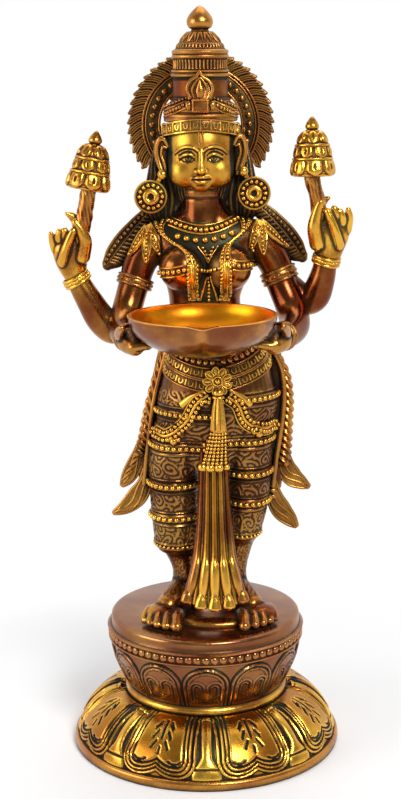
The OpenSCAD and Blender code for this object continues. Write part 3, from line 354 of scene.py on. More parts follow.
# The sixth number sets how strongly shut places darken, partly as patina and partly as painted shade.
gold = finish("rubbed_brass", (0.42, 0.175, 0.021), (0.80, 0.41, 0.060), 0.25, 1.0, 1.0, 0.4)
face_gold = finish("buffed_brass", (0.56, 0.26, 0.033), (0.78, 0.41, 0.06), 0.35, 1.0, 0.35, 0.15)
hand_brass = finish("hand_brass", (0.31, 0.120, 0.018), (0.74, 0.36, 0.048), 0.24, 0.9, 0.8, 0.25)
tail_brass = finish("tail_brass", (0.16, 0.064, 0.015), (0.46, 0.215, 0.045), 0.30, 1.0, 1.0, 0.4)
dish_gold = finish("dish_brass", (0.72, 0.26, 0.008), (0.82, 0.36, 0.03), 0.32, 0.3, 0.2, 0.2)
petal_gold = finish("petal_brass", (0.50, 0.21, 0.020), (0.78, 0.41, 0.06), 0.27, 1.0, 0.6, 0.25)
drum_wash = finish("drum_wash", (0.27, 0.105, 0.042), (0.40, 0.17, 0.06), 0.24, 1.0, 0.45, 0.3)
crown_wash = finish("crown_wash", (0.19, 0.050, 0.011), (0.46, 0.20, 0.045), 0.42, 0.95, 0.9, 0.3)
dish_wash = finish("dish_wash", (0.25, 0.088, 0.033), (0.50, 0.21, 0.055), 0.23, 0.95, 0.45, 0.15)
copper = finish("copper_wash", (0.23, 0.066, 0.018), (0.52, 0.22, 0.045), 0.27, 0.95, 0.9, 0.4)
bronze = finish("brown_skin", (0.20, 0.058, 0.016), (0.44, 0.18, 0.04), 0.22, 0.95, 0.9, 0.3)
carved = finish("carved_ground", (0.085, 0.031, 0.011), (0.40, 0.175, 0.040), 0.28, 1.0, 1.0, 0.6)
cloth = finish("cloth_bronze", (0.125, 0.046, 0.015), (0.36, 0.160, 0.040), 0.30, 0.9, 1.0, 0.6)
deep = finish("deep_stain", (0.026, 0.020, 0.010), (0.16, 0.085, 0.030), 0.40, 0.9, 1.0, 0.9)
dark = finish("dark_stain", (0.035, 0.036, 0.020), (0.30, 0.15, 0.045), 0.42, 0.9, 1.0, 0.9)
steel = finish("plain_steel", (0.42, 0.42, 0.43), (0.62, 0.62, 0.63), 0.32, 0.6, 0.6, 0.3,
               stain_and_shade=(0.10, 0.09, 0.08), even=True)

# %% [markdown]
# ## Tools for shaping
#
# Nearly everything on the figure is a swept form: a limb, a finger, a wire, a leaf or a sash is a ring that
# is extruded along a path while it changes size. A curve object with a bevel could do the same, but it has
# one round section, and these forms are flat, lobed or twisted. Turned pieces come from spin, and beads are
# small spheres. Modelling is in millimetres, and a piece is brought to metres when it is finished.

# %% Paths and sweeps


def spline(points, steps):
    """Smooth path through rows of points, with steps between each pair."""
    p = np.asarray(points, float)
    before = np.vstack([2 * p[0] - p[1], p[:-1]])[:-1]
    after = np.vstack([p[1:], 2 * p[-1] - p[-2]])[1:]
    rows = []
    for a, b, c, d in zip(before, p[:-1], p[1:], after):
        t = np.linspace(0, 1, steps, endpoint=False)[:, None]
        rows.append((2 * b + (c - a) * t + (2 * a - 5 * b + 4 * c - d) * t ** 2
                     + (3 * b - a - 3 * c + d) * t ** 3) / 2)
    return np.vstack(rows + [p[-1:]])


def unit(v):
    """Rows of length 1."""
    return v / np.maximum(np.linalg.norm(v, axis=-1, keepdims=True), 1e-9)


def join(bm, part):
    """Add a small bmesh to a larger one, because operators work faster on small ones."""
    mesh = bpy.data.meshes.new("part")
    part.to_mesh(mesh)
    part.free()
    bm.from_mesh(mesh)
    bpy.data.meshes.remove(mesh)


def loft(target, rings):
    """Skin over rings of points: a circle that is extruded from one ring to the next."""
    bm = bmesh.new()
    count = len(rings[0])
    loop = bmesh.ops.create_circle(bm, segments=count, radius=1.0)["verts"]
    edges = [bm.edges.get((loop[i], loop[(i + 1) % count])) for i in range(count)]
    ends = [edges]
    for v, p in zip(loop, rings[0]):
        v.co = p
    for ring in rings[1:]:
        grown = set(bmesh.ops.extrude_edge_only(bm, edges=edges)["geom"])
        loop = [next(o for o in (e.other_vert(v) for e in v.link_edges) if o in grown) for v in loop]
        for v, p in zip(loop, ring):
            v.co = p
        edges = [bm.edges.get((loop[i], loop[(i + 1) % count])) for i in range(count)]
    ends.append(edges)
    for end in ends:
        bmesh.ops.edgeloop_fill(bm, edges=end)
    bmesh.ops.recalc_face_normals(bm, faces=bm.faces)
    join(target, bm)


FLAT, RISE = np.array([1, 1, 0]), np.array([0, 0, 1])  # level part and upward way
ROUND_END = np.array([0.98, 0.85, 0.55, 0.18])  # sizes of the rings that close a sweep


def sweep(bm, path, wide, thick=None, up=(0, -1, 0), sides=8, twist=0.0, lobes=0, lobe=0.0):
    """Ring of half sizes wide and thick along path, thick towards up, with rounded ends.

    Twist turns each ring, and lobes of height lobe stand out on it."""
    path = np.asarray(path, float)
    wide = np.broadcast_to(np.asarray(wide, float), len(path))
    thick = wide if thick is None else np.broadcast_to(np.asarray(thick, float), len(path))
    up = np.broadcast_to(np.asarray(up, float), path.shape)
    twist = np.broadcast_to(np.asarray(twist, float), len(path))
    way = unit(np.gradient(path, axis=0))
    reach = np.sqrt(1 - ROUND_END ** 2)
    low = np.minimum(wide[0], thick[0])
    high = np.minimum(wide[-1], thick[-1])
    path = np.vstack([path[0] - way[0] * low * reach[::-1, None], path,
                      path[-1] + way[-1] * high * reach[:, None]])
    wide = np.concatenate([wide[0] * ROUND_END[::-1], wide, wide[-1] * ROUND_END])
    thick = np.concatenate([thick[0] * ROUND_END[::-1], thick, thick[-1] * ROUND_END])
    more = len(ROUND_END)
    up = np.pad(up, ((more, more), (0, 0)), mode="edge")
    way = np.pad(way, ((more, more), (0, 0)), mode="edge")
    twist = np.pad(twist, more, mode="edge")
    side = unit(np.cross(way, up))
    rise = np.cross(side, way)
    angle = 2 * np.pi * np.arange(sides) / sides
    turned = angle[None, :] + twist[:, None]
    swell = 1 + lobe * np.cos(lobes * angle)
    rings = (path[:, None] + (wide[:, None] * np.cos(turned) * swell)[..., None] * side[:, None]
             + (thick[:, None] * np.sin(turned) * swell)[..., None] * rise[:, None])
    loft(bm, rings)


def limb(bm, balls, steps=4, up=(0, -1, 0), sides=16):
    """Round limb through rows of x, y, z, radius."""
    rows = spline(balls, steps)
    sweep(bm, rows[:, :3], rows[:, 3], up=up, sides=sides)


ball_shapes = {}


def bead(bm, place, radius, squash=(1, 1, 1), fine=10, toward=(0, 0, 1)):
    """Small ball, kept to a few dozen faces, with its third size along toward."""
    if fine not in ball_shapes:
        ball = bmesh.new()
        bmesh.ops.create_uvsphere(ball, u_segments=fine, v_segments=max(5, fine // 2 + 1), radius=1.0)
        ball_shapes[fine] = bpy.data.meshes.new("ball")
        ball.to_mesh(ball_shapes[fine])
        ball.free()
    shape = ball_shapes[fine].copy()
    tilt = Vector((0, 0, 1)).rotation_difference(Vector(toward))
    shape.transform(Matrix.LocRotScale(Vector(place), tilt, Vector(squash) * radius))
    bm.from_mesh(shape)
    bpy.data.meshes.remove(shape)


def along(path, pitch):
    """Places at even spacing along a path, with their rows."""
    path = np.asarray(path, float)
    run = np.concatenate([[0], np.cumsum(np.linalg.norm(np.diff(path[:, :3], axis=0), axis=1))])
    count = max(2, int(round(run[-1] / pitch)) + 1)
    spots = np.linspace(0, run[-1], count)
    return np.stack([np.interp(spots, run, path[:, k]) for k in range(path.shape[1])], axis=1)


print("sweeps ready")

# %% [markdown]
# A turned piece is a profile that spin carries round. Carving is then a sculptor's move: each point is
# pushed along its normal by a height that depends on where it lies. A displace modifier with a texture
# could do it too, but a formula keeps every ridge and count where the real piece has it.

# %% Turned and carved forms


def turned(bm, profile, steps, closed=False):
    """Profile of radius and height spun once round the upright axis."""
    verts = [bm.verts.new((r, 0, z)) for r, z in profile]
    pairs = list(zip(verts, verts[1:])) + ([(verts[-1], verts[0])] if closed else [])
    edges = [bm.edges.new(pair) for pair in pairs]
    bmesh.ops.spin(bm, geom=verts + edges, cent=(0, 0, 0), axis=(0, 0, 1), dvec=(0, 0, 0),
                   angle=2 * math.pi, steps=steps, use_merge=True)
    bmesh.ops.remove_doubles(bm, verts=bm.verts, dist=0.001)
    bmesh.ops.recalc_face_normals(bm, faces=bm.faces)


def points_of(mesh):
    """Places and normals of a mesh's points."""
    co = np.empty(3 * len(mesh.vertices))
    no = np.empty(3 * len(mesh.vertices))
    mesh.vertices.foreach_get("co", co)
    mesh.vertices.foreach_get("normal", no)
    return co.reshape(-1, 3), no.reshape(-1, 3)


def carve(bm, height):
    """Push every point along its normal by height(places, normals), in millimetres."""
    mesh = bpy.data.meshes.new("carving")
    bm.to_mesh(mesh)
    co, no = points_of(mesh)
    mesh.vertices.foreach_set("co", (co + no * height(co, no)[:, None]).ravel())
    bm.clear()
    bm.from_mesh(mesh)
    bpy.data.meshes.remove(mesh)


def bump(distance, half):
    """Rounded crest of half width half."""
    return np.sqrt(np.clip(1 - (distance / half) ** 2, 0, 1))


def step(value, low, high):
    """0 below low, 1 above high, smooth between."""
    t = np.clip((value - low) / (high - low), 0, 1)
    return t * t * (3 - 2 * t)


def stroke(x, y, ax, ay, bx, by):
    """Distance of x, y from a short straight line."""
    run, rise = bx - ax, by - ay
    t = np.clip(((x - ax) * run + (y - ay) * rise) / (run ** 2 + rise ** 2), 0, 1)
    return np.hypot(x - ax - t * run, y - ay - t * rise)


def finer(rows, count):
    """Profile brought to count rows, with corners kept."""
    spots = np.linspace(0, len(rows) - 1, count)
    return list(zip(*[np.interp(spots, range(len(rows)), [row[k] for row in rows]) for k in (0, 1)]))


def round_place(k, count, radius, z=0.0):
    """Place k of count round the z axis."""
    a = 2 * math.pi * k / count
    return np.array([radius * math.cos(a), radius * math.sin(a), z])


def ring_path(radius, z, count=32):
    """Closed round path about the z axis."""
    a = 2 * np.pi * np.arange(count + 1) / count
    return np.stack([radius * np.cos(a), radius * np.sin(a), np.full(count + 1, z)], axis=1)


def disc_way(bm, build, place, toward):
    """Run build, which works round the z axis, and stand what it makes up facing toward."""
    part = bmesh.new()
    build(part)
    face = Vector(toward).to_track_quat("Z", "Y").to_matrix().to_4x4()
    bmesh.ops.transform(part, matrix=Matrix.Translation(Vector(place)) @ face, verts=part.verts)
    join(bm, part)


print("turning ready")

# %% [markdown]
# Every finished piece gets its relief attribute from its own shape: a point that lies below the mean of its
# neighbours is in a groove, one that lies above is on a crest. The Pointiness of a Geometry node says much
# the same, but it depends on how fine the mesh is. Fused forms, such as a hand, start as rough overlapping
# shapes that a voxel remesh melts into one skin.

# %% Finishing and fusing
CREST = 0.45  # bend, in 1/mm, that counts as a crest
SOFT_CREST = 1.8  # the same for pieces that keep little stain
WELD = 0.004  # points closer than this become one


def age(mesh, spread, cuts_and_shade, crest):
    """Store relief, 0 in grooves and 1 on crests, from how the surface bends against the crest.

    Where cuts_and_shade(places) is 1 the point counts as a groove, for cuts finer than the surface's points,
    and on the head also for painted shade on the sides of the face."""
    co, no = points_of(mesh)
    co = co / MM
    pairs = np.empty(2 * len(mesh.edges), int)
    mesh.edges.foreach_get("vertices", pairs)
    a, b = pairs[0::2], pairs[1::2]
    count = np.maximum(np.bincount(pairs, minlength=len(co)), 1)

    def mean(x):
        return (np.bincount(a, x[b], len(x)) + np.bincount(b, x[a], len(x))) / count

    near = np.stack([mean(co[:, k]) for k in range(3)], axis=1) - co
    length = np.linalg.norm(co[a] - co[b], axis=1)
    square = (np.bincount(a, length ** 2, len(co)) + np.bincount(b, length ** 2, len(co))) / count
    bend = -4 * (near * no).sum(axis=1) / np.maximum(square, 1e-6)
    for _ in range(spread):
        bend = (bend + mean(bend)) / 2
    relief = 0.5 + 0.5 * np.tanh(bend / crest)
    if cuts_and_shade:
        relief = relief * (1 - cuts_and_shade(co))
    stored = mesh.attributes.new("relief", "FLOAT", "POINT")
    stored.data.foreach_set("value", relief.astype(np.float32))


def piece(name, bm, metal, *nodes, body="figure", spread=2, crease=50, other=None, where=None,
          cuts_and_shade=None, crest=CREST):
    """Finish a bmesh as an object that rides on a body and stands for CAD nodes.

    Faces for which where(middle in millimetres) is true take the other metal."""
    bmesh.ops.remove_doubles(bm, verts=bm.verts, dist=WELD)
    bmesh.ops.recalc_face_normals(bm, faces=bm.faces)
    bmesh.ops.scale(bm, vec=(MM, MM, MM), verts=bm.verts)
    mesh = bpy.data.meshes.new(name)
    bm.to_mesh(mesh)
    bm.free()
    mesh.shade_smooth()
    mesh.set_sharp_from_angle(angle=math.radians(crease))
    mesh.materials.append(metal)
    if other:
        mesh.materials.append(other)
        middle = np.empty(3 * len(mesh.polygons))
        mesh.polygons.foreach_get("center", middle)
        taken = where(middle.reshape(-1, 3) / MM)
        mesh.polygons.foreach_set("material_index", taken.astype(np.int32))
    age(mesh, spread, cuts_and_shade, crest)
    made = bpy.data.objects.new(name, mesh)
    scene.collection.objects.link(made)
    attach(made, body)
    if nodes:
        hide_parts(*nodes)
    print(name, len(mesh.polygons), "faces")
    return made


def fuse(bm, voxel, smooth):
    """Melt overlapping closed shapes into one skin and return it as a new bmesh."""
    mesh = bpy.data.meshes.new("rough")
    bm.to_mesh(mesh)
    bm.free()
    rough_form = bpy.data.objects.new("rough", mesh)
    scene.collection.objects.link(rough_form)
    melt = rough_form.modifiers.new("melt", "REMESH")
    melt.mode = "VOXEL"
    melt.voxel_size = voxel
    soften = rough_form.modifiers.new("soften", "SMOOTH")
    soften.factor = 0.5
    soften.iterations = smooth
    settled = rough_form.evaluated_get(bpy.context.evaluated_depsgraph_get())
    skin = bpy.data.meshes.new_from_object(settled)
    bpy.data.objects.remove(rough_form)
    bpy.data.meshes.remove(mesh)
    fused = bmesh.new()
    fused.from_mesh(skin)
    bpy.data.meshes.remove(skin)
    return fused


class Skin:
    """Surface that ornaments are laid on."""

    def __init__(self, bm):
        self.tree = BVHTree.FromBMesh(bm)

    def seen(self, u, v):
        """Place and normal where the ray through picture position u, v meets the surface."""
        return self.shot(EYE, sight(u, v))

    def shot(self, origin, way):
        """Place and normal where a ray from origin meets the surface."""
        hit, normal, _, _ = self.tree.ray_cast(Vector(origin), Vector(way))
        return (None, None) if hit is None else (np.array(hit), np.array(normal))

    def traced(self, pixels, steps, lift):
        """Path on the surface under a smooth line of picture positions, with normals."""
        rows = [(p + n * lift, n) for p, n in (self.seen(u, v) for u, v in spline(pixels, steps))
                if p is not None]
        return np.array([p for p, _ in rows]), np.array([n for _, n in rows])


def at(u, v, y):
    """Place where the ray through picture position u, v crosses the upright plane at depth y."""
    ray = np.array(sight(u, v))
    return EYE + ray * (y - EYE[1]) / ray[1]


def scrolls(x, y, cell, pitch):
    """Rows of spirals, every second one turning the other way, as a height from 0 to 1."""
    row = np.floor(y / cell)
    across = x / cell + 0.5 * (row % 2)
    column = np.floor(across)
    px = (across - column - 0.5) * cell
    py = (y / cell - row - 0.5) * cell
    spin_way = np.where((row + column) % 2 == 0, 1, -1)
    turn_at = np.arctan2(py, px * spin_way) / (2 * np.pi)
    lane = (np.hypot(px, py) / pitch - turn_at + 1.7 * row + 2.3 * column) % 1.0 - 0.5
    return bump(lane * pitch, 0.36 * pitch)


print("finishing ready")

# %% [markdown]
# ## The lotus base
#
# The foot of the lamp is a low hollow dome with eight broad petals. Each has a border of three lines, a
# two-lobed tip and a sprig cut into its middle, and a narrow sepal stands between each pair. One petal
# could be modelled and set round eight times, but its seams would show, so the dome is spun from its
# profile and all petals are carved into it. The borders are then real ridges that catch the light.

# %% Lotus base profile
COLLAR_R, DOME_R, BASE_H, RIM_H = 52.5, 82.0, 33.0, 6.0


def dome_point(t):
    """Radius and height on the dome, from the rim at 0 to the collar at 1."""
    return COLLAR_R + (DOME_R - COLLAR_R) * (1 - t ** 1.4) ** (1 / 1.9), RIM_H + (BASE_H - RIM_H) * t


dome_fine = np.array([dome_point(math.sin(math.pi / 2 * i / 600)) for i in range(601)])[::-1]
dome_run = np.concatenate([[0], np.cumsum(np.linalg.norm(np.diff(dome_fine, axis=0), axis=1))])
DOME_LEN = dome_run[-1]
dome_rows = [tuple(float(np.interp(s, dome_run, dome_fine[:, k])) for k in (0, 1))
             for s in np.linspace(0, DOME_LEN, 78)]
base_profile = ([(4.6, 29.0), (4.6, BASE_H), (30.0, BASE_H), (49.0, BASE_H)] + dome_rows
                + [(83.4, 6.0), (84.2, 5.2), (84.5, 4.0), (84.5, 2.0), (84.2, 0.6), (83.4, 0.0), (78.5, 0.0)]
                + [(77.6, 6.0), (74.0, 17.0), (64.0, 26.0), (50.0, 29.0)])
print("dome", round(DOME_LEN, 1), "mm from collar to rim")

# %% Petals
PETAL_STEP = 2 * np.pi / 8
PETAL_END, PETAL_HALF, PETAL_FLARE, PETAL_CORNER = DOME_LEN - 2.6, 15.4, 7.6, 9.5
NOTCH = 4.2
BORDERS = ((-2.6, 1.7, 0.9), (0.0, 1.7, 1.0), (2.5, 1.6, 0.9))  # start, width and height of a line
BORDER_CUTS = (-0.5, 2.1, 4.5)
SPRIG_LEAVES = ((7.5, 3.1), (14.0, 3.2), (20.6, 2.9))  # where a pair starts, down and across


def sprig_cut(x, y, half):
    """Cuts of the sprig and of the two curls at a petal's tip."""
    sprig = np.minimum(stroke(x, y, 0, 6.5, 0, 18.5), stroke(x, y, 0, 24.5, 0, 28.3))
    for top, near in SPRIG_LEAVES:
        sprig = np.minimum(sprig, stroke(x, y, near, top, near + 2.5, top + 4.6))
    curl = np.abs(np.hypot((x - 0.52 * half) / 1.5, y - PETAL_END + 9.5) - 3.0)
    curl = curl + 9.0 * (y < PETAL_END - 8.4)
    return np.maximum(bump(sprig, 0.75), bump(curl, 0.6))


def petal_form(co):
    """Height of petals, borders, sprigs and sepals over the plain dome, and where they are cut dark."""
    radius = np.hypot(co[:, 0], co[:, 1])
    off = (np.arctan2(co[:, 0], -co[:, 1]) / PETAL_STEP) % 1.0 - 0.5
    x = np.abs(off) * PETAL_STEP * radius
    y = np.interp(co[:, 2], dome_fine[::-1, 1], dome_run[::-1])
    half = PETAL_HALF + PETAL_FLARE * np.minimum(y / PETAL_END, 1)
    notch = NOTCH * np.clip(1 - x / (0.52 * half), 0, 1) ** 2
    inside = np.minimum(half - x, PETAL_END - notch - y)
    over, under = x - half + PETAL_CORNER, y - PETAL_END + PETAL_CORNER
    inside = np.where((over > 0) & (under > 0), PETAL_CORNER - np.hypot(over, under), inside)
    h = -0.9 * step(-inside, -0.3, 0.5)
    for start, wide, tall in BORDERS:
        h = h + tall * bump(inside - start - wide / 2, wide / 2)
    h = h + 1.1 * step(inside, 4.7, 6.0)
    dark_cut = np.max([bump(inside - k, 0.65) for k in BORDER_CUTS], axis=0)
    fine_cut = sprig_cut(x, y, half)
    h = h - 0.7 * fine_cut
    across = (0.5 - np.abs(off)) * PETAL_STEP * radius
    stem = 3.2 + 6.0 * step(y, DOME_LEN - 15, DOME_LEN - 2)
    sepal = (inside < -3.0) * (y > 2)
    h = h + 1.7 * bump(across, stem) * sepal + 0.9 * bump(y - 2.6, 1.6) * (across < 6.5) * (inside < 0.5)
    h = h - 0.9 * bump(y - DOME_LEN + 6.5, 0.9) * (across < stem)
    ground = bump(across - stem - 0.6, 0.9) * (inside < -2.6)
    on_dome = (co[:, 2] > RIM_H + 0.3) & (radius > COLLAR_R - 0.2)
    return h * on_dome, on_dome * np.maximum(np.maximum(dark_cut, fine_cut), ground)


def rim_and_collar(p):
    """Plain rim below the petals and plain collar above them."""
    return (p[:, 2] < RIM_H + 0.4) | (np.hypot(p[:, 0], p[:, 1]) < COLLAR_R)


base_bm = bmesh.new()
turned(base_bm, base_profile, 720, closed=True)
carve(base_bm, lambda co, no: petal_form(co)[0])
piece("lotus_petal_base", base_bm, petal_gold, "lotus_base", spread=1, other=copper, where=rim_and_collar,
      cuts_and_shade=lambda co: petal_form(co)[1])

# %% [markdown]
# ## The drum
#
# The pedestal between base and figure is a hollow turned drum: a rounded foot ring, a flared wall with
# twelve arched panels, a band of flattened beads and a plain top disc. It is spun and carved in the same
# way as the base. The arches could be cut with boolean shapes, but on a flared wall a carved height follows
# the flare.

# %% Drum profile
wall_rows = [(49.2 + 10.4 * math.sin(math.pi / 2 * t), 39.0 + 30.5 * t) for t in np.linspace(0, 1, 46)]
drum_profile = ([(0, STAND), (30.0, STAND), (57.2, STAND), (58.6, 84.6), (59.3, 83.8), (59.5, 82.6),
                 (59.5, 78.6), (60.0, 77.8), (61.4, 77.5), (62.2, 76.9), (61.8, 76.2), (60.2, 75.6),
                 (60.0, 73.0), (60.2, 71.2), (61.6, 70.6), (61.6, 69.9), (60.2, 69.6)] + wall_rows[::-1]
                + [(49.6, 38.6), (50.8, 37.8), (51.4, 36.4), (51.4, 35.0), (50.8, 33.6), (49.4, BASE_H),
                   (45.0, BASE_H), (45.5, 38.0), (55.0, 68.0), (55.0, 81.0), (0, 81.0)])
print("drum", STAND - BASE_H, "mm high")

# %% Arched panels and bead band
ARCH_STEP = 2 * np.pi / 12
ARCH_HALF, ARCH_RISE, ARCH_SPRING = 13.8, 12.6, 55.0
WALL_LOW, WALL_HIGH, WALL_R = 39.4, 69.2, 56.0
ARCH_LINES = ((0.0, 1.5, 0.7), (2.4, 1.3, 0.6))  # start, width and height
HOOK_X, HOOK_Z, HOOK_OUTER = 5.4, 54.0, 4.3
HOOK_LINES = ((HOOK_OUTER, 0.8), (2.3, 0.6))  # radius and height
BAND_BEADS, BAND_R, BAND_Z = 72, 60.3, 73.4


def arch_form(co):
    """Height of the arched panels over the plain wall, and where they are cut dark."""
    off = (np.arctan2(co[:, 0], -co[:, 1]) / ARCH_STEP + 0.5) % 1.0 - 0.5
    x, y = np.abs(off) * ARCH_STEP * WALL_R, co[:, 2]
    over = (np.hypot(x / ARCH_HALF, (y - ARCH_SPRING) / ARCH_RISE) - 1) * ARCH_RISE
    inside = -np.where(y < ARCH_SPRING, x - ARCH_HALF, over)
    h = -0.7 * step(-inside, -0.2, 0.5)
    for start, wide, tall in ARCH_LINES:
        h = h + tall * bump(inside - start - wide / 2, wide / 2)
    dark_cut = np.maximum(bump(inside - 1.95, 0.55), bump(inside + 0.5, 0.6))
    side = x - HOOK_X
    foot = np.where(side > 0, 44.0, 51.0)
    for r, tall in HOOK_LINES:
        leg = np.abs(side) + 9.0 * (y < foot + 2 * (HOOK_OUTER - r))
        away = np.where(y > HOOK_Z, np.hypot(side, y - HOOK_Z), leg)
        h = h + tall * bump(away - r, 0.8) * (inside > 3.6)
        dark_cut = np.maximum(dark_cut, bump(away - r + 1.05, 0.6) * (inside > 3.6))
    dark_cut = np.maximum(dark_cut, 0.7 * bump(stroke(x, y, 1.0, 44.0, 7.0, 47.0), 0.5))
    wall = (y > WALL_LOW) & (y < WALL_HIGH) & (np.hypot(co[:, 0], co[:, 1]) > 47.5)
    return h * wall * step(y, WALL_LOW, 41.5), dark_cut * wall


def foot_ring(p):
    """Rounded ring on which the drum stands."""
    return (p[:, 2] < 39.0) & (np.hypot(p[:, 0], p[:, 1]) > 49.0)


drum_bm = bmesh.new()
turned(drum_bm, drum_profile, 600)
carve(drum_bm, lambda co, no: arch_form(co)[0])
piece("arched_drum", drum_bm, drum_wash, "drum", spread=1, other=gold, where=foot_ring,
      cuts_and_shade=lambda co: arch_form(co)[1], crest=SOFT_CREST)
band_bm = bmesh.new()
for i in range(BAND_BEADS):
    a = 2 * math.pi * i / BAND_BEADS
    out = np.array([math.sin(a), -math.cos(a), 0])
    bead(band_bm, BAND_R * out + RISE * BAND_Z, 2.5, (1, 1, 0.6), 12, out)
piece("drum_bead_band", band_bm, drum_wash)

# %% [markdown]
# ## Hips, legs and feet
#
# On the real figure, body, wrapped cloth and feet are one casting. The cloth is lofted here from oval
# sections, the feet and toes are limbs, and a remesh melts them into one skin. Sculpting by hand would be
# livelier, but sections keep the sizes of the CAD model.

# %% Lower body
# height above the drum, middle, half width, depth in front and depth behind
HIPS = [(94, 4, 22, 17, 18), (112, 5, 32, 22, 24), (124, 7.2, 36, 25, 27), (136, 9, 37, 26, 28),
        (150, 9, 34, 25, 26), (164, 9, 31, 23, 23)]
LEFT_LEG = [(14, -12, 10, 10, 12), (26, -12, 8, 9, 9), (38, -15, 10, 10, 11), (42, -17, 13, 14, 15),
            (60, -18, 14.5, 16, 17), (76, -18.5, 15, 17, 18), (100, -18, 16, 19, 20), (122, -12, 18, 21, 23)]
RIGHT_LEG = [(14, 18, 10, 10, 12), (26, 18, 8, 9, 9), (44, 21, 9.5, 10, 11), (49, 23, 11, 13, 14),
             (62, 25.5, 12.5, 15, 16), (76, 27, 13.5, 17, 18), (100, 27, 15, 19, 20), (122, 25, 18, 21, 23)]
LEFT_TOES = ((-17.5, -42), (-24, -40.5), (-29.3, -37.6), (-33.8, -34), (-37.4, -29.8))
RIGHT_TOES = ((24, -42), (30.5, -39.8), (35.6, -36.4), (39.8, -32.4), (43, -28))


def oval(h, middle, half, front, back, sides=48):
    """Ring of an oval section, fuller in front or behind."""
    a = 2 * np.pi * np.arange(sides) / sides
    depth = np.where(np.sin(a) < 0, front, back)
    return np.stack([middle + half * np.cos(a), depth * np.sin(a), np.full(sides, h + STAND)], axis=1)


def stack(bm, sections, steps=3):
    """Body part lofted through its sections."""
    loft(bm, [oval(*row) for row in spline(sections, steps)])


def foot(bm, ankle, toes, heel):
    """Heel, instep, ball and toes."""
    ball = np.mean(toes, axis=0)
    limb(bm, [(heel, 12, 90, 7), (ankle, 2, 98, 9.5), ((2 * ankle + ball[0]) / 3, -12, 97, 9.0),
              ((ankle + 2 * ball[0]) / 3, -20, 94, 7.6)])
    bead(bm, (0.85 * ball[0] + 0.15 * ankle, -24, 90.4), 1, (12.6, 10.5, 6.4), 32)
    for k, (x, y) in enumerate(toes):
        r = 3.7 if k == 0 else 2.9 - 0.1 * k
        limb(bm, [(x * 0.88 + ankle * 0.12, y + 10, 92.5, r),
                  (x * 0.95 + ankle * 0.05, y + 5.5, 92.2, r * 0.92),
                  (x, y + 1.5, 89.6, r * 0.95), (x, y, 88.4, r)], sides=14)


lower_bm = bmesh.new()
for sections in (HIPS, LEFT_LEG, RIGHT_LEG):
    stack(lower_bm, sections)
foot(lower_bm, -12, LEFT_TOES, -10)
foot(lower_bm, 18, RIGHT_TOES, 17)
mound = bmesh.ops.create_uvsphere(lower_bm, u_segments=24, v_segments=12, radius=1)["verts"]
bmesh.ops.scale(lower_bm, vec=(24, 13, 5.5), verts=mound)
bmesh.ops.translate(lower_bm, vec=(6, -24, 86), verts=mound)
lower_bm = fuse(lower_bm, 0.85, 4)
bmesh.ops.bisect_plane(lower_bm, geom=lower_bm.verts[:] + lower_bm.edges[:] + lower_bm.faces[:],
                       plane_co=(0, 0, STAND), plane_no=(0, 0, -1), clear_outer=True)
legs_skin = Skin(lower_bm)
print("lower body", len(lower_bm.faces), "faces")

# %% [markdown]
# Bands run round each leg, with chased scrolls between them. The scrolls are spirals from a formula, carved
# low, so that the stain finds its way between them.

# %% Carved cloth
LEFT_BANDS, RIGHT_BANDS = (215.5, 194.5, 169.5, 148.5), (225.0, 198.0, 177.0, 158.0)
LEFT_HEM, RIGHT_HEM = 127.5, 134.0
LEFT_SIDE = 6.0  # what lies below this x belongs to the left leg
WRAP_TOP = 229.0


def cloth_relief(co, no):
    """Raised bands, scrollwork between them, ridged hems and rough ankles."""
    left = co[:, 0] < LEFT_SIDE
    z = co[:, 2]
    h = np.zeros(len(co))
    for side, bands, hem, mid in ((left, LEFT_BANDS, LEFT_HEM, -16.0), (~left, RIGHT_BANDS, RIGHT_HEM, 25.0)):
        off = np.min([np.abs(z - b) for b in bands], axis=0)
        edge = np.where(off < 2.5, 0.5, 0) - 0.6 * bump(off - 3.0, 0.8)
        edge = edge + 0.5 * bump(off - 4.1, 0.7)
        x = np.where(no[:, 1] > 0.3, co[:, 0], np.arctan2(co[:, 0] - mid, -co[:, 1]) * 17.0)
        ground = step(off, 5.2, 6.4) * step(z, hem + 1.0, hem + 3.0) * step(-z, -232.0, -226.0)
        chased = scrolls(x + 1.6 * np.sin(z * 0.31), z - bands[1] + 1.3 * np.sin(x * 0.37), 9.4, 3.0)
        h = h + side * (edge * (z > hem) * (z < WRAP_TOP) + 0.42 * ground * chased)
        h = h + side * 0.8 * (bump(z - hem - 1.0, 1.0) + bump(z - hem - 4.0, 0.9))
        foot_part = (z < hem - 2) & (z > 93)
        h = h + side * foot_part * 0.16 * scrolls(x, z, 5.6, 2.6) * step(z, 96.0, 104.0)
    return h


def front_of_foot(p):
    """Skin of the feet that the wrapped cloth leaves bare."""
    return (p[:, 2] < 101) & (p[:, 1] < 4)


carve(lower_bm, cloth_relief)
piece("draped_legs", lower_bm, cloth, "lower_body", spread=1, other=copper, where=front_of_foot)

# %% [markdown]
# The bands and hems carry rows of beads. An array along a curve could set them, but the skin is uneven, so
# they are laid where rays from the middle of each leg leave it.

# %% Leg beads


def ring_on(skin, middle, z, start, stop, count, lift):
    """Places and normals round a form at a height or at a height for each angle, 0 at the front."""
    rows = []
    for a in np.radians(np.linspace(start, stop, count)):
        height = z(a) if callable(z) else z
        p, n = skin.shot((middle, 0, height), (math.sin(a), -math.cos(a), 0))
        if p is not None:
            rows.append((p + n * lift, n))
    return np.array([p for p, _ in rows]), np.array([n for _, n in rows])


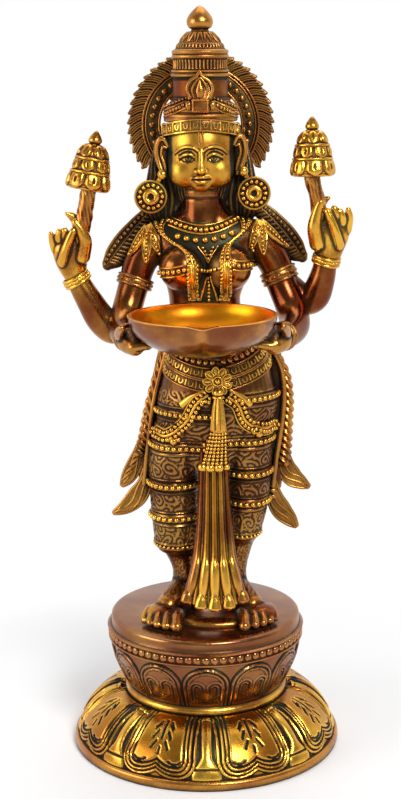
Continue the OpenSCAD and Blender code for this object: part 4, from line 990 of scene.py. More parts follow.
leg_beads_bm = bmesh.new()
for bands, middle, start, stop in ((LEFT_BANDS, -16.5, -170, 55), (RIGHT_BANDS, 25.0, -50, 170)):
    for z in bands:
        path, _ = ring_on(legs_skin, middle, z, start, stop, 90, 0.9)
        for p in along(path[np.abs(path[:, 0] - middle) < 26], 3.9):
            bead(leg_beads_bm, p, 1.75)
for hem, middle, start, stop in ((LEFT_HEM, -16.5, -160, 60), (RIGHT_HEM, 22.0, -60, 160)):
    path, _ = ring_on(legs_skin, middle, hem + 2.4, start, stop, 90, 0.8)
    for p in along(path[np.abs(path[:, 0] - middle) < 22], 3.0):
        bead(leg_beads_bm, p, 1.05, fine=8)
piece("leg_beads", leg_beads_bm, gold)

# %% [markdown]
# ## Front pleat
#
# The pressed folds in front hang as rounded ribs, with narrow ones between them. Each widens into a flat
# box fold and ends in a hem with two rows of stitches. A cloth simulation would give softer folds than the
# mould maker's, so each rib is swept along its own line over one flat sheet.

# %% Front pleat
PLEAT_X = 6
FOLD_BOW = 1.3  # how much further back each fold lies than the one before it
SHEET = [(6, -16, 205, 9, 2.5), (6, -18, 178, 9.5, 3.0), (6, -20, 148, 11, 3.6), (6, -24, 122, 14.5, 4.6),
         (6, -27.5, 106, 19, 5.4), (6, -29, 101.5, 20.5, 5.2)]
# distance from fold to fold, depth and its bow, height and its bow, half width and half thickness
BROAD_RIB = [(3.4, -21.5, 0.5, 203, 0, 1.5, 2.4), (3.7, -25.5, 1, 176, 0, 1.6, 2.4),
             (4.3, -29.5, 1, 148, 0, 1.8, 2.5), (5.0, -33, 1, 130, 0, 2.1, 2.6),
             (5.4, -35.5, 1, 123, 0, 3.0, 2.8), (6.6, -37, 1, 113, 0, 3.2, 3.0),
             (7.4, -38, 1.2, 107, 0, 2.7, 2.8), (8.2, -39.5, 1.3, 102.5, 0.5, 3.6, 2.8),
             (8.5, -41, 1.3, 99.5, 0.5, 4.1, 2.2)]
NARROW_RIB = [(3.4, -20.5, 0.5, 203, 0, 0.8), (3.7, -25, 1, 176, 0, 0.9), (4.3, -28.5, 1, 148, 0, 1.0),
              (5.4, -33.5, 1, 125, 0, 1.0), (8.0, -37, 1, 101, 0, 2.2)]


def flat_sweep(bm, rows, steps, sides):
    """Sweep through rows of x, y, z, half width and half thickness."""
    rows = spline(rows, steps)
    sweep(bm, rows[:, :3], rows[:, 3], rows[:, 4], sides=sides)


def rib_at(rib, s):
    """Rows of a rib that lies s folds from the middle."""
    bow = FOLD_BOW * s * s
    return [(PLEAT_X + apart * s, y + back * bow, z + lift * bow, *half)
            for apart, y, back, z, lift, *half in rib]


def stitches(bm, s):
    """Two short rows of stitches on the hem of a fold."""
    bow = FOLD_BOW * s * s
    for z in (106.2, 104.4):
        for k in range(-2, 3):
            y = -41.0 + 1.2 * bow - 0.3 * (106 - z) + 0.25 * k * k
            bead(bm, (PLEAT_X + 7.7 * s + 1.25 * k, y, z), 0.55, fine=8)


def outer_folds(p):
    """Folds at the sides, more of them higher up, which take the copper wash."""
    half = np.interp(p[:, 2], (100, 125, 145, 203), (13.5, 11.0, 5.6, 4.6))
    return np.abs(p[:, 0] - PLEAT_X) > half


pleat_bm = bmesh.new()
flat_sweep(pleat_bm, SHEET, 6, 40)
for s in (-2, -1, 0, 1, 2):
    flat_sweep(pleat_bm, rib_at(BROAD_RIB, s), 6, 14)
    if abs(s) < 2:
        stitches(pleat_bm, s)
for s in (-1.5, -0.5, 0.5, 1.5):
    limb(pleat_bm, rib_at(NARROW_RIB, s), steps=6, sides=10)
piece("front_folds", pleat_bm, gold, "front_pleat", other=copper, where=outer_folds)

# %% [markdown]
# ## Sashes
#
# A twisted roll of cloth and a plain fold fall at each side and end in broad leaf-shaped tails, and a thin
# web of metal joins them to the legs, as the mould needs. A screw modifier could twist a straight roll, but
# this one bends as it falls, so a lobed section turns while it is swept. Tails have raised borders.

# %% Sash helpers
PICTURE_UNIT = 0.61  # millimetres that one picture unit covers at the figure


def drawn(pixels, y, halves, steps=8):
    """Path on an upright plane under picture positions, with half widths given in picture units."""
    places = [at(u, v, y) for u, v in pixels]
    return spline([(*p, half * PICTURE_UNIT) for p, half in zip(places, halves)], steps)


def sideways(path, out=(0, -1, 0)):
    """Direction of a path at each place, and the direction across it as seen from out."""
    way = unit(np.gradient(path, axis=0))
    return way, unit(np.cross(way, out))


def tail(bm, pixels, y, halves):
    """Leaf-shaped end with a raised border and veins."""
    rows = drawn(pixels, y, halves)
    sweep(bm, rows[:, :3], rows[:, 3], np.minimum(2.4, rows[:, 3] * 0.8), sides=20)
    _, side = sideways(rows[:, :3])
    swirl = np.sin(np.linspace(0, 2 * np.pi, len(rows)))
    for share, r in ((-0.86, 0.9), (0.86, 0.9), (0.32, 0.8), (-0.32, 0.8)):
        lean = share if abs(share) > 0.5 else share + 0.3 * swirl
        line = rows[:, :3] + side * (rows[:, 3] * lean)[:, None]
        line[:, 1] -= 2.2 * np.sqrt(1 - np.clip(lean, -1, 1) ** 2) * np.minimum(1, rows[:, 3] / 3)
        sweep(bm, line, np.minimum(r, 0.25 + rows[:, 3] * 0.4), sides=8)


def roll(bm, pixels, y, halves, turns):
    """Twisted roll of cloth."""
    rows = drawn(pixels, y, halves, 32)
    twist = np.linspace(0, 2 * np.pi * turns, len(rows))
    sweep(bm, rows[:, :3], rows[:, 3], rows[:, 3] * 0.9, sides=24, twist=twist, lobes=3, lobe=0.2)


def plain_fold(bm, pixels):
    """Narrow fold that falls straight beside the roll."""
    sweep(bm, drawn(pixels, 1.2, [1] * len(pixels))[:, :3], 1.8, 1.4)


def web(name, pixels, half):
    """Flat metal between a sash and the leg beside it."""
    bm = bmesh.new()
    rows = drawn(pixels, 5, [half] * len(pixels))
    sweep(bm, rows[:, :3], rows[:, 3], 1.6, sides=16)
    piece(name, bm, cloth)


print("sash helpers ready")

# %% Left sash
left_sash_bm = bmesh.new()
roll(left_sash_bm, [(167, 346), (157.5, 374), (148.5, 410), (143.5, 438), (139, 453)], 3,
     [3.6, 4.0, 4.6, 5.0, 5.4], 4.5)
plain_fold(left_sash_bm, [(167, 350), (155.5, 394), (150, 428), (147, 458), (144.5, 484)])
tail(left_sash_bm, [(143.5, 438), (139.5, 453), (134, 466), (128, 477), (122, 485.5)], 6,
     [3.6, 7.0, 8.6, 7.2, 1.8])
for u, v in ((139.5, 452), (136, 459.5), (132, 467), (128.5, 474)):
    fold = [at(u - 6, v + 5.5, 4.4), at(u, v, 3.4), at(u + 6, v - 5.5, 4.4)]
    sweep(left_sash_bm, fold, [0.6, 1.2, 0.6], 1.0, sides=10)
tail(left_sash_bm, [(148, 466), (145, 482), (138, 495), (127, 505.5), (113.5, 513)], 4,
     [4.0, 7.5, 10.5, 8.0, 1.6])
piece("left_sash", left_sash_bm, copper, "sash_left", other=tail_brass, where=lambda p: p[:, 2] < 192)
web("left_sash_web", [(167, 350), (157.5, 394), (152.5, 428), (149, 458), (146.5, 484)], 8.6)

# %% Right sash
right_sash_bm = bmesh.new()
roll(right_sash_bm, [(272, 346), (285.6, 373), (288.8, 398), (287.8, 420), (286.2, 442), (284, 462)], 3,
     [3.6, 4.0, 4.6, 5.0, 5.6, 6.2], 5.0)
plain_fold(right_sash_bm, [(273, 350), (282, 370), (284, 400), (280, 436), (276, 460), (272.5, 486)])
tail(right_sash_bm, [(284, 452), (286, 466), (292, 476), (301, 482), (309, 486.5)], 6,
     [5.0, 9.5, 10.5, 7.0, 1.8])
tail(right_sash_bm, [(271, 478), (274, 495), (281, 509), (290, 519), (296.5, 526)], 4,
     [4.4, 8.5, 10.5, 7.4, 2.0])
for v, r in ((490, 3.2), (496, 2.8)):
    bead(right_sash_bm, at(272, v, 3), r, (1.2, 0.9, 0.7), 14)
piece("right_sash", right_sash_bm, copper, "sash_right", other=tail_brass, where=lambda p: p[:, 2] < 190)
web("right_sash_web", [(271, 350), (278.5, 394), (278, 428), (275.5, 458), (272, 486)], 9.4)

# %% [markdown]
# ## Girdle
#
# One row of beads and two belts with alternating loops and bars lie round the hips and dip to the rosette
# in front. A band with an ornament texture would look flat at the sides, so edges, loops and bars are swept
# on a dark ground, at heights that follow the dip.

# %% Belts
BELT_MIDDLE = 9.0
BELT_HALF = 3.2
TORSO = [(164, 9, 31, 23, 23), (180, 4.95, 26, 19, 19), (196, 1.5, 21.5, 16, 15), (208, 2, 24, 17, 16),
         (219, 2.5, 29, 18, 18), (232, 2, 34, 17, 18), (240, 2, 36, 14, 16), (246, 1.5, 25, 12, 14),
         (252, 1.5, 15, 11, 13), (259, 1, 12, 10, 12)]
trunk_bm = bmesh.new()
stack(trunk_bm, HIPS[2:] + TORSO[1:5])
waist_skin = Skin(trunk_bm)
trunk_bm.free()


def belt_line(z, dip, gap, count, lift):
    """Line round the waist that dips in front, open by gap degrees on each side of the rosette."""
    def height(a):
        return z + dip * (1 - max(math.cos(a), 0)) + 2.0 * math.sin(a)
    return ring_on(waist_skin, BELT_MIDDLE, height, gap, 360 - gap, count, lift)


def loops_and_bars(bm, rows):
    """Every second place a loop, the others a bar, on rows of place and normal."""
    way = unit(np.gradient(rows[:, :3], axis=0))
    bend = np.linspace(0.15 * np.pi, -1.15 * np.pi, 9)[:, None]
    for i, row in enumerate(rows):
        place, rise = row[:3], np.cross(way[i], unit(row[3:]))
        rise = rise if rise[2] > 0 else -rise
        if i % 2:
            loop = place + way[i] * np.cos(bend) * 1.45 + rise * np.sin(bend) * 1.7
            sweep(bm, loop, 0.55, up=row[3:], sides=6)
        else:
            sweep(bm, [place - rise * 1.7, place, place + rise * 1.7], 0.6, up=row[3:], sides=6)


belt_bm = bmesh.new()
loops_bm = bmesh.new()
ground_bm = bmesh.new()
for p in along(belt_line(248.5, 11, 8, 160, 1.2)[0], 4.0):
    bead(belt_bm, p, 1.75)
for z in (242.0, 234.5):
    path, out = belt_line(z, 12, 12, 240, 0.2)
    sweep(ground_bm, path, 3.3, 0.9, up=out, sides=12)
    for edge in (-BELT_HALF, BELT_HALF):
        sweep(belt_bm, belt_line(z + edge, 12, 12, 240, 0.8)[0], 0.6, sides=8)
    loops_and_bars(loops_bm, along(np.hstack(belt_line(z, 12, 14, 360, 1.1)), 3.5))
piece("belt_edges", belt_bm, copper)
piece("belt_loops", loops_bm, gold)
piece("belt_ground", ground_bm, deep, "waist_belt")

# %% [markdown]
# The rosette closes the girdle. It has a ring, a boss and nine petals, each a small cupped leaf with a wire
# round it. It is built lying down, where round forms are easy to place, and then stood up.

# %% Rosette
ROSETTE_AT = (8.6, -27.6, 238.0)
ROSETTE_PETALS = 9


def rosette(bm):
    """Flower that lies round the z axis."""
    bead(bm, (0, 0, -0.6), 5.4, (1, 1, 0.35), 20)
    bead(bm, (0, 0, 1.6), 1.7, (1, 1, 0.7), 14)
    sweep(bm, ring_path(2.7, 1.3), 0.75, up=(0, 0, 1), sides=8)
    t = np.linspace(0.06, 0.94, 15)[:, None] * 2 * np.pi
    for k in range(ROSETTE_PETALS):
        a = 2 * math.pi * (k + 0.5) / ROSETTE_PETALS
        out, side = np.array([math.cos(a), math.sin(a), 0]), np.array([-math.sin(a), math.cos(a), 0])
        outline = out * (6.0 - 2.6 * np.cos(t)) + side * 2.0 * np.sin(t) + RISE * 0.8
        sweep(bm, outline, 0.55, up=(0, 0, 1), sides=8)
        leaf = [out * r + RISE * 0.3 for r in (3.8, 5.5, 7.6)]
        sweep(bm, leaf, [0.9, 1.8, 1.2], 0.7, up=(0, 0, 1), sides=10)


rosette_bm = bmesh.new()
disc_way(rosette_bm, rosette, ROSETTE_AT, (0.05, -1, 0.12))
piece("girdle_flower", rosette_bm, gold, "belt_rosette")

# %% [markdown]
# Two swags, each a wire between two rows of beads, hang from the rosette over the thighs, and two loose
# ends lie above them. Pointing through the camera puts each line where it belongs, and the skin gives its
# depth.

# %% Swags
SWAGS = [([(208, 395), (197, 404), (188, 420), (178, 430), (166, 436), (157, 432)], (174, 441)),
         ([(228, 397), (238, 405), (244, 419), (253, 426), (264, 428), (273, 424)], (258, 433.5))]
LOOSE_ENDS = ([(206, 391), (192, 397), (182, 405)], [(230, 390), (240, 396), (250, 404)])
swag_bm = bmesh.new()
for pixels, drop in SWAGS:
    path, out = legs_skin.traced(pixels, 10, 0.8)
    sweep(swag_bm, path, 1.25, 1.0, up=out, sides=10)
    _, side = sideways(path, out)
    for lean in (-2.4, 2.2):
        for p in along(path + side * lean + out * 0.7, 3.1):
            bead(swag_bm, p, 1.4)
    sweep(swag_bm, path + side * 4.2, 0.55, up=out, sides=6)
    for offset, r in ((0, 2.5), (-4.5, 1.7), (4.5, 1.7)):
        p, n = legs_skin.seen(drop[0] + offset, drop[1] - abs(offset) * 0.4)
        bead(swag_bm, p + n * 0.8, r, fine=12)
    knot = path[-1] + out[-1] * 0.4
    for k in range(6):
        x, z, _ = round_place(k, 6, 2.6)
        bead(swag_bm, knot + np.array([x, 0, z]), 1.25)
    bead(swag_bm, knot, 1.8)
for pixels in LOOSE_ENDS:
    path, out = legs_skin.traced(pixels, 10, 0.8)
    sweep(swag_bm, path, np.linspace(1.2, 2.2, len(path)), 1.0, up=out, sides=10)
piece("bead_swags", swag_bm, gold, "girdle_swags")

# %% [markdown]
# The tassel hangs in front of the pleat: a knot, a fluted bell, six strings of beads and four larger drops.

# %% Tassel
TASSEL_X, TASSEL_Y = 9.0, -30.4
tassel_bm = bmesh.new()
bead(tassel_bm, (TASSEL_X, TASSEL_Y, 231.3), 2.8, (1.1, 0.8, 0.9), 16)
collar = ring_path(2.9, 0) * np.array([1, 0.75, 1]) + np.array([TASSEL_X, TASSEL_Y, 228.8])
sweep(tassel_bm, collar, 0.9, up=(0, 0, 1))
bell = spline([(TASSEL_X, TASSEL_Y, 228.5, 2.2, 2.0), (TASSEL_X, TASSEL_Y, 221, 3.4, 2.8),
               (TASSEL_X, TASSEL_Y - 0.5, 213, 4.2, 3.2), (TASSEL_X, TASSEL_Y - 0.5, 209.5, 4.5, 3.2)], 8)
sweep(tassel_bm, bell[:, :3], bell[:, 3], bell[:, 4], sides=36, lobes=9, lobe=0.09)
for lean in (-0.7, 0.0, 0.7):
    line = bell[:, :3].copy()
    line[:, 0] += bell[:, 3] * lean
    line[:, 1] -= bell[:, 4] * math.sqrt(1 - lean * lean)
    sweep(tassel_bm, line, np.linspace(0.5, 1.1, len(line)), sides=8)
for lean in (np.arange(6) - 2.5) / 2.5:
    bow = 1.6 * lean * lean
    top = np.array([TASSEL_X + 3.8 * lean, TASSEL_Y - 1.2 + bow, 208.5])
    end = np.array([TASSEL_X + 6.4 * lean - 2.4, TASSEL_Y - 2.0 + bow, 188.5])
    for p in along(np.array([top, (top + end) / 2 + np.array([0, -0.8, 0]), end]), 2.35):
        bead(tassel_bm, p, 1.22, fine=8)
for lean, r in ((-1.0, 3.0), (-0.34, 3.0), (0.36, 3.0), (1.0, 2.2)):
    drop = (TASSEL_X - 2.6 + 7.2 * lean, TASSEL_Y - 1.8 + 1.8 * lean * lean, 185.6)
    bead(tassel_bm, drop, r, (1, 0.95, 0.95), 14)
piece("bead_tassel", tassel_bm, gold, "girdle_tassel")

# %% [markdown]
# ## Torso and arms
#
# The torso and neck are lofted and fused. Each arm is one limb through its joints, because a smooth taper
# with no wrist bones is how the caster shapes it. The four arms meet the shoulders as separate pieces, as
# in the CAD model.

# %% Torso and arms
# x, depth, height above the drum and radius at each joint
ARMS = {"arm_left": [(-28, 0, 234, 11), (-37, -1, 222, 10), (-42, -4, 206, 9.2), (-46, -10, 192, 9),
                     (-48, -22, 184, 8.4), (-45, -36, 182, 7.2), (-42, -46, 183, 6.6)],
        "arm_right": [(32, 0, 236, 11), (43, -1, 222, 10), (48.5, -3, 207, 9.2), (54, -9, 193, 9.4),
                      (55, -20, 185, 9), (50, -36, 182, 7.4), (44, -46, 183, 6.6)],
        "raised_arm_left": [(-45, -6, 190, 8.6), (-53, -6, 182, 9.6), (-61, -9, 188, 9.2), (-68, -11, 200, 8),
                            (-75, -12, 213, 6.6)],
        "raised_arm_right": [(52, 0, 206, 8.4), (61, 0, 198, 9.2), (68, -3, 200, 9.2), (72, -7, 211, 8),
                             (74.5, -9, 223, 6.6)]}
PANEL_Z = (278, 284, 300, 306, 312, 318, 324, 331.5, 331.6, 345)
PANEL_HALF = (9, 9, 9.5, 11, 13, 18, 24, 27, 0, 0)
torso_bm = bmesh.new()
stack(torso_bm, TORSO)
for x in (-12, 16):
    bead(torso_bm, (x, -14.5, 304), 13.6, (1, 0.95, 1), 32)
limb(torso_bm, [(1, 1, 330, 15), (0.5, 0, 341, 12.6), (0, -1, 357, 12.0)], sides=40)
torso_bm = fuse(torso_bm, 0.9, 6)


def neck_lines(co, _):
    """Two soft folds round the neck."""
    folds = bump(co[:, 2] - 345.5, 0.8) + bump(co[:, 2] - 350.5, 0.8)
    return -0.35 * folds * (np.hypot(co[:, 0], co[:, 1]) < 15)


def dark_panel(p):
    """Stained ground behind the necklaces and between the garland's ends."""
    half = np.interp(p[:, 2], PANEL_Z, PANEL_HALF)
    return (np.abs(p[:, 0] - 2.5) < half) & (p[:, 1] < 0)


carve(torso_bm, neck_lines)
shape_bm = torso_bm.copy()
for name, joints in ARMS.items():
    arm_bm = bmesh.new()
    limb(arm_bm, [(x, y, h + STAND, r) for x, y, h, r in joints], steps=7, up=(0, 0, 1), sides=40)
    join(shape_bm, arm_bm.copy())
    piece(name + "_form", arm_bm, bronze, name)
body_skin = Skin(shape_bm)
shape_bm.free()
piece("torso_form", torso_bm, bronze, "torso", other=dark, where=dark_panel)

# %% [markdown]
# ## Necklaces, garland and shoulder pieces
#
# Two necklaces and a long garland lie on the skin, with beads between raised wires. They could be drawn as
# curves and shrunk onto the body. Here each line is pointed at through the camera and lands on the skin
# below, which keeps it where the picture has it.

# %% Necklaces


def bead_row(bm, skin, pixels, pitch, radius, lift=0.6, fine=10):
    """Beads on a skin under a line of picture positions."""
    path, _ = skin.traced(pixels, 10, lift)
    for p in along(path, pitch):
        bead(bm, p, radius, fine=fine)


def ridge(bm, skin, pixels, half, thick=None, lift=0.3, sides=8):
    """Raised wire on a skin under a line of picture positions."""
    path, out = skin.traced(pixels, 10, lift)
    sweep(bm, path, half, thick, up=out, sides=sides)


def shifted(pixels, du, dv):
    """The same line, moved in the picture."""
    return [(u + du, v + dv) for u, v in pixels]


COLLAR = [(169, 221), (187, 227.5), (202.5, 229.7), (219, 227), (237, 218.5)]
SECOND = [(178, 236.7), (190, 239.6), (202, 240.6), (218, 238.5), (231.5, 233)]
jewel_bm = bmesh.new()
bead_row(jewel_bm, body_skin, COLLAR, 3.2, 1.55)
ridge(jewel_bm, body_skin, shifted(COLLAR, 0, -4.6), 0.55)
ridge(jewel_bm, body_skin, shifted(COLLAR, 0, 4.2), 0.75)
bead_row(jewel_bm, body_skin, SECOND, 5.3, 2.05, fine=12)
for pixels in ([(203, 248), (208.4, 259)], [(213, 247.5), (208.8, 259)]):
    bead_row(jewel_bm, body_skin, pixels, 2.4, 1.0, fine=8)
for pixels in ([(198, 247), (204, 255), (208.5, 263)], [(218, 246), (213, 254), (208.7, 263)]):
    ridge(jewel_bm, body_skin, pixels, 0.5)
piece("bead_necklaces", jewel_bm, gold, "necklace")

# %% Garland
LEFT_FALL = [(163.4, 214.5), (158.5, 226.5), (165.7, 237.5), (179, 247), (189, 256), (192.3, 266)]
RIGHT_FALL = [(242.3, 211), (246.5, 225), (239.5, 234.6), (229, 243.8), (225, 255.8), (226, 263.5)]
LEFT_END = [(192.3, 266), (191.6, 276), (193, 290), (194.6, 299)]
RIGHT_END = [(226, 263.5), (226.5, 276), (226, 290), (223.6, 299)]
BREAST_BANDS = (([(160, 268.5), (172, 268), (184, 265.5)], [(160, 272.5), (172, 272.5), (184, 270)],
                 [(160, 277), (172, 277), (184, 274.5)]),
                ([(233, 261), (243, 261.5), (254, 260)], [(233, 265.5), (243, 266), (254, 264)],
                 [(233, 270), (243, 270.5), (254, 268.5)]))
MIDLINE = 208.8
garland_bm = bmesh.new()
for fall, end, s in ((LEFT_FALL, LEFT_END, -1), (RIGHT_FALL, RIGHT_END, 1)):
    ridge(garland_bm, body_skin, fall, 0.8, lift=0.9)
    for du in (-3.6, 3.6):
        bead_row(garland_bm, body_skin, shifted(fall, du * 0.75, -s * du * 0.55), 2.5, 1.2, fine=8)
    for du in (-6.2, 6.2):
        ridge(garland_bm, body_skin, shifted(fall, du * 0.75, -s * du * 0.55), 0.55)
    ridge(garland_bm, body_skin, end, 3.1, 1.3, lift=0.3, sides=14)
    ridge(garland_bm, body_skin, end, 1.3, 1.2, lift=1.2, sides=12)
    for du in (-4.0, 4.0):
        bead_row(garland_bm, body_skin, shifted(end, du, 0), 2.4, 1.15, lift=1.0, fine=8)
for above, band, below in BREAST_BANDS:
    ridge(garland_bm, body_skin, above, 0.55)
    bead_row(garland_bm, body_skin, band, 3.3, 1.5)
    ridge(garland_bm, body_skin, below, 0.6)
bead_row(garland_bm, body_skin, [(197, 270), (208, 271), (220, 268.5)], 3.4, 1.3)
bead_row(garland_bm, body_skin, [(208.7, 278), (208.9, 300)], 2.2, 0.95, fine=8)
for s in (-1, 1):
    spread_out = [(MIDLINE + 2 * s, 277), (MIDLINE + 5 * s, 288), (MIDLINE + 8.5 * s, 300)]
    ridge(garland_bm, body_skin, spread_out, 0.6)
piece("bead_garland", garland_bm, gold, "garland")

# %% [markdown]
# Leaf fans lie on the shoulders, and stiff flaps stand out behind the upper arms, dark with raised barbs
# like a feather. Each barb is a short sweep of its own, so it stands up from the plate and keeps stain
# beside it.

# %% Shoulder fans


def fan(name, root, tips):
    """Leaves that spread on the shoulder from root to each tip, with its half width."""
    bm = bmesh.new()
    for tip, full in tips:
        middle = ((root[0] + tip[0]) / 2, (root[1] + tip[1]) / 2)
        path, out = body_skin.traced([root, middle, tip], 8, 0.5)
        grow = np.sin(np.linspace(0.25, 0.92, len(path)) * np.pi) * full
        sweep(bm, path, grow, 1.1, up=out, sides=12)
        _, side = sideways(path, out)
        for lean in (-0.85, 0.85):
            sweep(bm, path + side * (grow * lean)[:, None] + out * 0.8, 0.65, up=out, sides=6)
        for p in along(path[4:] + out[4:] * 1.5, 2.5):
            bead(bm, p, 1.05, fine=8)
    piece(name + "_fan", bm, gold, name)


fan("shoulder_leaves_left", (149, 226.5), [((131, 255), 3.4), ((145.5, 261), 3.4), ((158.5, 252.5), 2.8)])
fan("shoulder_leaves_right", (259, 222), [((285, 247.5), 3.4), ((264, 253), 3.4), ((251, 250), 2.6)])

# %% Shoulder flaps
FLAP_HALVES = [7, 10.5, 13, 11.5, 5]
FLAP_Y = 5
BARB = ((-0.1, -2.5), (0.45, -2.2), (0.95, -0.8))  # how far along and how far forward


def flap(name, pixels):
    """Stiff feathered flap, with its raised border, beads and barbs as a second piece."""
    bm = bmesh.new()
    rows = drawn(pixels, FLAP_Y, FLAP_HALVES)
    path, half = rows[:, :3], rows[:, 3]
    sweep(bm, path, half, 2.6, sides=20)
    piece(name + "_plate", bm, deep, name)
    way, side = sideways(path)
    out = -1 if side[0, 2] < 0 else 1

    def beside(share, forward):
        return path + side * (half * share * out)[:, None] + np.array([0, forward, 0])

    trim = bmesh.new()
    sweep(trim, beside(0.93, -1.2), 0.9, sides=8)
    for p in along(beside(0.6, -2.4), 3.2):
        bead(trim, p, 1.35)
    sweep(trim, beside(0.25, -2.5), 0.6, sides=8)
    for i in range(2, len(rows) - 3, 2):
        barb = [path[i] - way[i] * reach * 3.0 - side[i] * half[i] * reach * out + np.array([0, depth, 0])
                for reach, depth in BARB]
        sweep(trim, barb, [0.9, 1.2, 0.6], 0.9, sides=8)
    piece(name + "_trim", trim, dark)


flap("shoulder_flap_left", [(150, 213), (139, 227), (127, 243), (116, 257), (107, 266)])
flap("shoulder_flap_right", [(258, 207), (270, 220), (283, 236), (294, 250), (303, 258)])

# %% [markdown]
# ## Armlets and bangles
#
# Each is a band round a limb with two ridges and a row of beads between them. A torus would do for the
# ridges, but a sweep round the limb gives band and ridges alike. It is built lying down and then turned
# along the arm.

# %% Armlets and bangles
CUFF_BEADS = 22
BANGLES = (("bangle_left", (-75, -12, 298), (-7, -1, 13), gold),
           ("bangle_right", (74.5, -9, 308), (2.5, -2, 12), gold),
           ("dish_bangle_left", (-43.4, -41.5, 267.4), (3, -10, 1), carved),
           ("dish_bangle_right", (46.8, -41.5, 267.4), (-6, -10, 1), carved))


def cuff(bm, place, way, radius, width):
    """Band round a limb at place, square to way."""
    def build(part):
        sweep(part, ring_path(radius + 0.5, 0, 40), width, 1.0, up=ring_path(1, 0, 40), sides=10)
        for z in (-width, width):
            sweep(part, ring_path(radius + 0.9, z, 40), 1.0, up=(0, 0, 1), sides=8)
        for k in range(CUFF_BEADS):
            bead(part, round_place(k, CUFF_BEADS, radius + 1.1), 0.95, fine=8)
    disc_way(bm, build, place, way)


armlet_bm = bmesh.new()
cuff(armlet_bm, (-40.6, -3, 210 + STAND), (-5, -3, -16), 9.4, 2.2)
cuff(armlet_bm, (46.6, -2, 213 + STAND), (5.5, -2, -15), 9.5, 3.0)
piece("arm_bands", armlet_bm, carved, "armlets")
for name, place, way, metal in BANGLES:
    cuff_bm = bmesh.new()
    cuff(cuff_bm, place, way, 6.9, 1.9)
    piece(name + "_ring", cuff_bm, metal, name)

# %% [markdown]
# ## Raised hands, stalks and buds
#
# A raised hand holds a lotus: thumb and first finger close round the stalk, and the other fingers curl. A
# hand could be box-modelled, but a palm and a few limbs for the digits, fused and softened, give the soft
# joints of a wax model that was cast.

# %% Raised hands
# picture position, depth and half sizes: first the palm, then the digits
LEFT_PALM = [(75.8, 277, -12, 6.6, 6.2), (72, 262, -13, 9.6, 6.4), (70, 249, -14, 10.6, 6.2),
             (70, 241, -14, 9.4, 5.0)]
LEFT_DIGITS = [
    [(83, 257, -17, 4.4), (85, 241, -18.5, 4.2), (80, 229, -19.5, 3.3), (75.5, 222.5, -20, 2.6)],
    [(62.5, 262, -17.5, 3.2), (65.5, 251, -20, 3.0), (69, 241, -21, 2.6), (73, 231, -21, 2.1)],
    [(56, 249, -14, 3.2), (53, 241, -15.5, 2.6), (50.8, 233.5, -17, 1.5)],
    [(61, 244, -14, 3.2), (58.8, 237, -17.5, 2.6), (59.5, 231.5, -19, 2.0)],
    [(66.5, 242, -14, 3.2), (64.5, 236, -18, 2.6), (64.8, 230.5, -19.5, 2.0)],
    [(79, 223, -12, 3.2), (72, 216.5, -13, 2.6), (66.5, 213.5, -14.5, 1.2)],
]
RIGHT_PALM = [(328.6, 260, -9, 6.6, 6.2), (329, 247, -10, 9.4, 6.4), (331, 234, -11, 10.8, 6.2),
              (332, 224, -11, 9.8, 5.0)]
RIGHT_DIGITS = [
    [(317, 244, -14, 4.6), (314.5, 227, -15.5, 4.3), (317.5, 211, -16.5, 3.2), (320.5, 202.5, -17, 2.6)],
    [(339, 245, -14.5, 3.2), (335.5, 233, -17, 3.0), (331.5, 221, -18, 2.6), (327.5, 211, -18, 2.1)],
    [(346.5, 230, -11, 3.2), (349, 218, -12.5, 2.7), (348.3, 209.5, -14, 1.7)],
    [(341.5, 227, -11, 3.2), (342, 218, -15, 2.7), (340, 211.5, -16, 2.1)],
    [(335.8, 225, -11, 3.2), (336.8, 216, -15.5, 2.7), (334.3, 208.5, -16.5, 2.1)],
    [(318, 207, -9, 3.2), (324, 200.5, -10, 2.6), (328.5, 198, -11.5, 1.3)],
]


def pointed(rows):
    """Rows that start with a picture position and a depth, with their place instead."""
    return [(*at(u, v, y), *size) for u, v, y, *size in rows]


for name, palm, digits in (("raised_hand_left", LEFT_PALM, LEFT_DIGITS),
                           ("raised_hand_right", RIGHT_PALM, RIGHT_DIGITS)):
    hand_bm = bmesh.new()
    flat_sweep(hand_bm, pointed(palm), 5, 28)
    for digit in digits:
        limb(hand_bm, pointed(digit), steps=5, sides=16)
    piece(name + "_form", fuse(hand_bm, 0.55, 7), hand_brass, name)

# %% [markdown]
# The stalk is a limb with uneven swellings, as a filed casting has. The bud on it is turned, because its
# tiers are round, and rounded petals with a slit in each are then carved into the tiers.

# %% Stalks and buds
STALKS = {
    "stalk_left": [(80, 238, -16, 4.4), (83, 224, -17, 5.0), (86, 206, -17, 4.7), (88.8, 188, -17, 4.7)],
    "stalk_right": [(318, 216, -13, 4.4), (318.4, 205, -14, 4.7), (315.5, 191, -15, 4.5),
                    (312, 178, -15, 4.8)],
}
BUD_ROWS = [
    (0, -0.6), (6.0, -0.8), (11.0, -0.6), (12.4, 0.2), (13.0, 1.4), (13.1, 3.0), (12.6, 6.0), (11.9, 8.2),
    (11.6, 8.8), (12.2, 9.2), (12.2, 10.0), (11.4, 10.5), (11.3, 11.5), (10.9, 14.0), (10.2, 16.4),
    (9.9, 16.8), (10.5, 17.2), (10.5, 18.0), (9.7, 18.5), (9.3, 20.0), (8.4, 22.4), (6.6, 24.8),
    (4.2, 26.2), (3.0, 26.8), (3.6, 27.2), (4.1, 28.0), (4.0, 29.2), (3.0, 31.2), (1.5, 33.2),
    (0.4, 34.4), (0, 34.6),
]
TIERS = [(0.0, 8.6, 7, 0.0), (10.6, 16.6, 7, 0.5), (18.6, 26.0, 6, 0.25)]  # from, to, petals and turn
BUDS = {"bud_left": ((-67, -17, 352), (-60.7, -15, 386)), "bud_right": ((65.7, -15, 358.5), (65.2, -13, 392))}


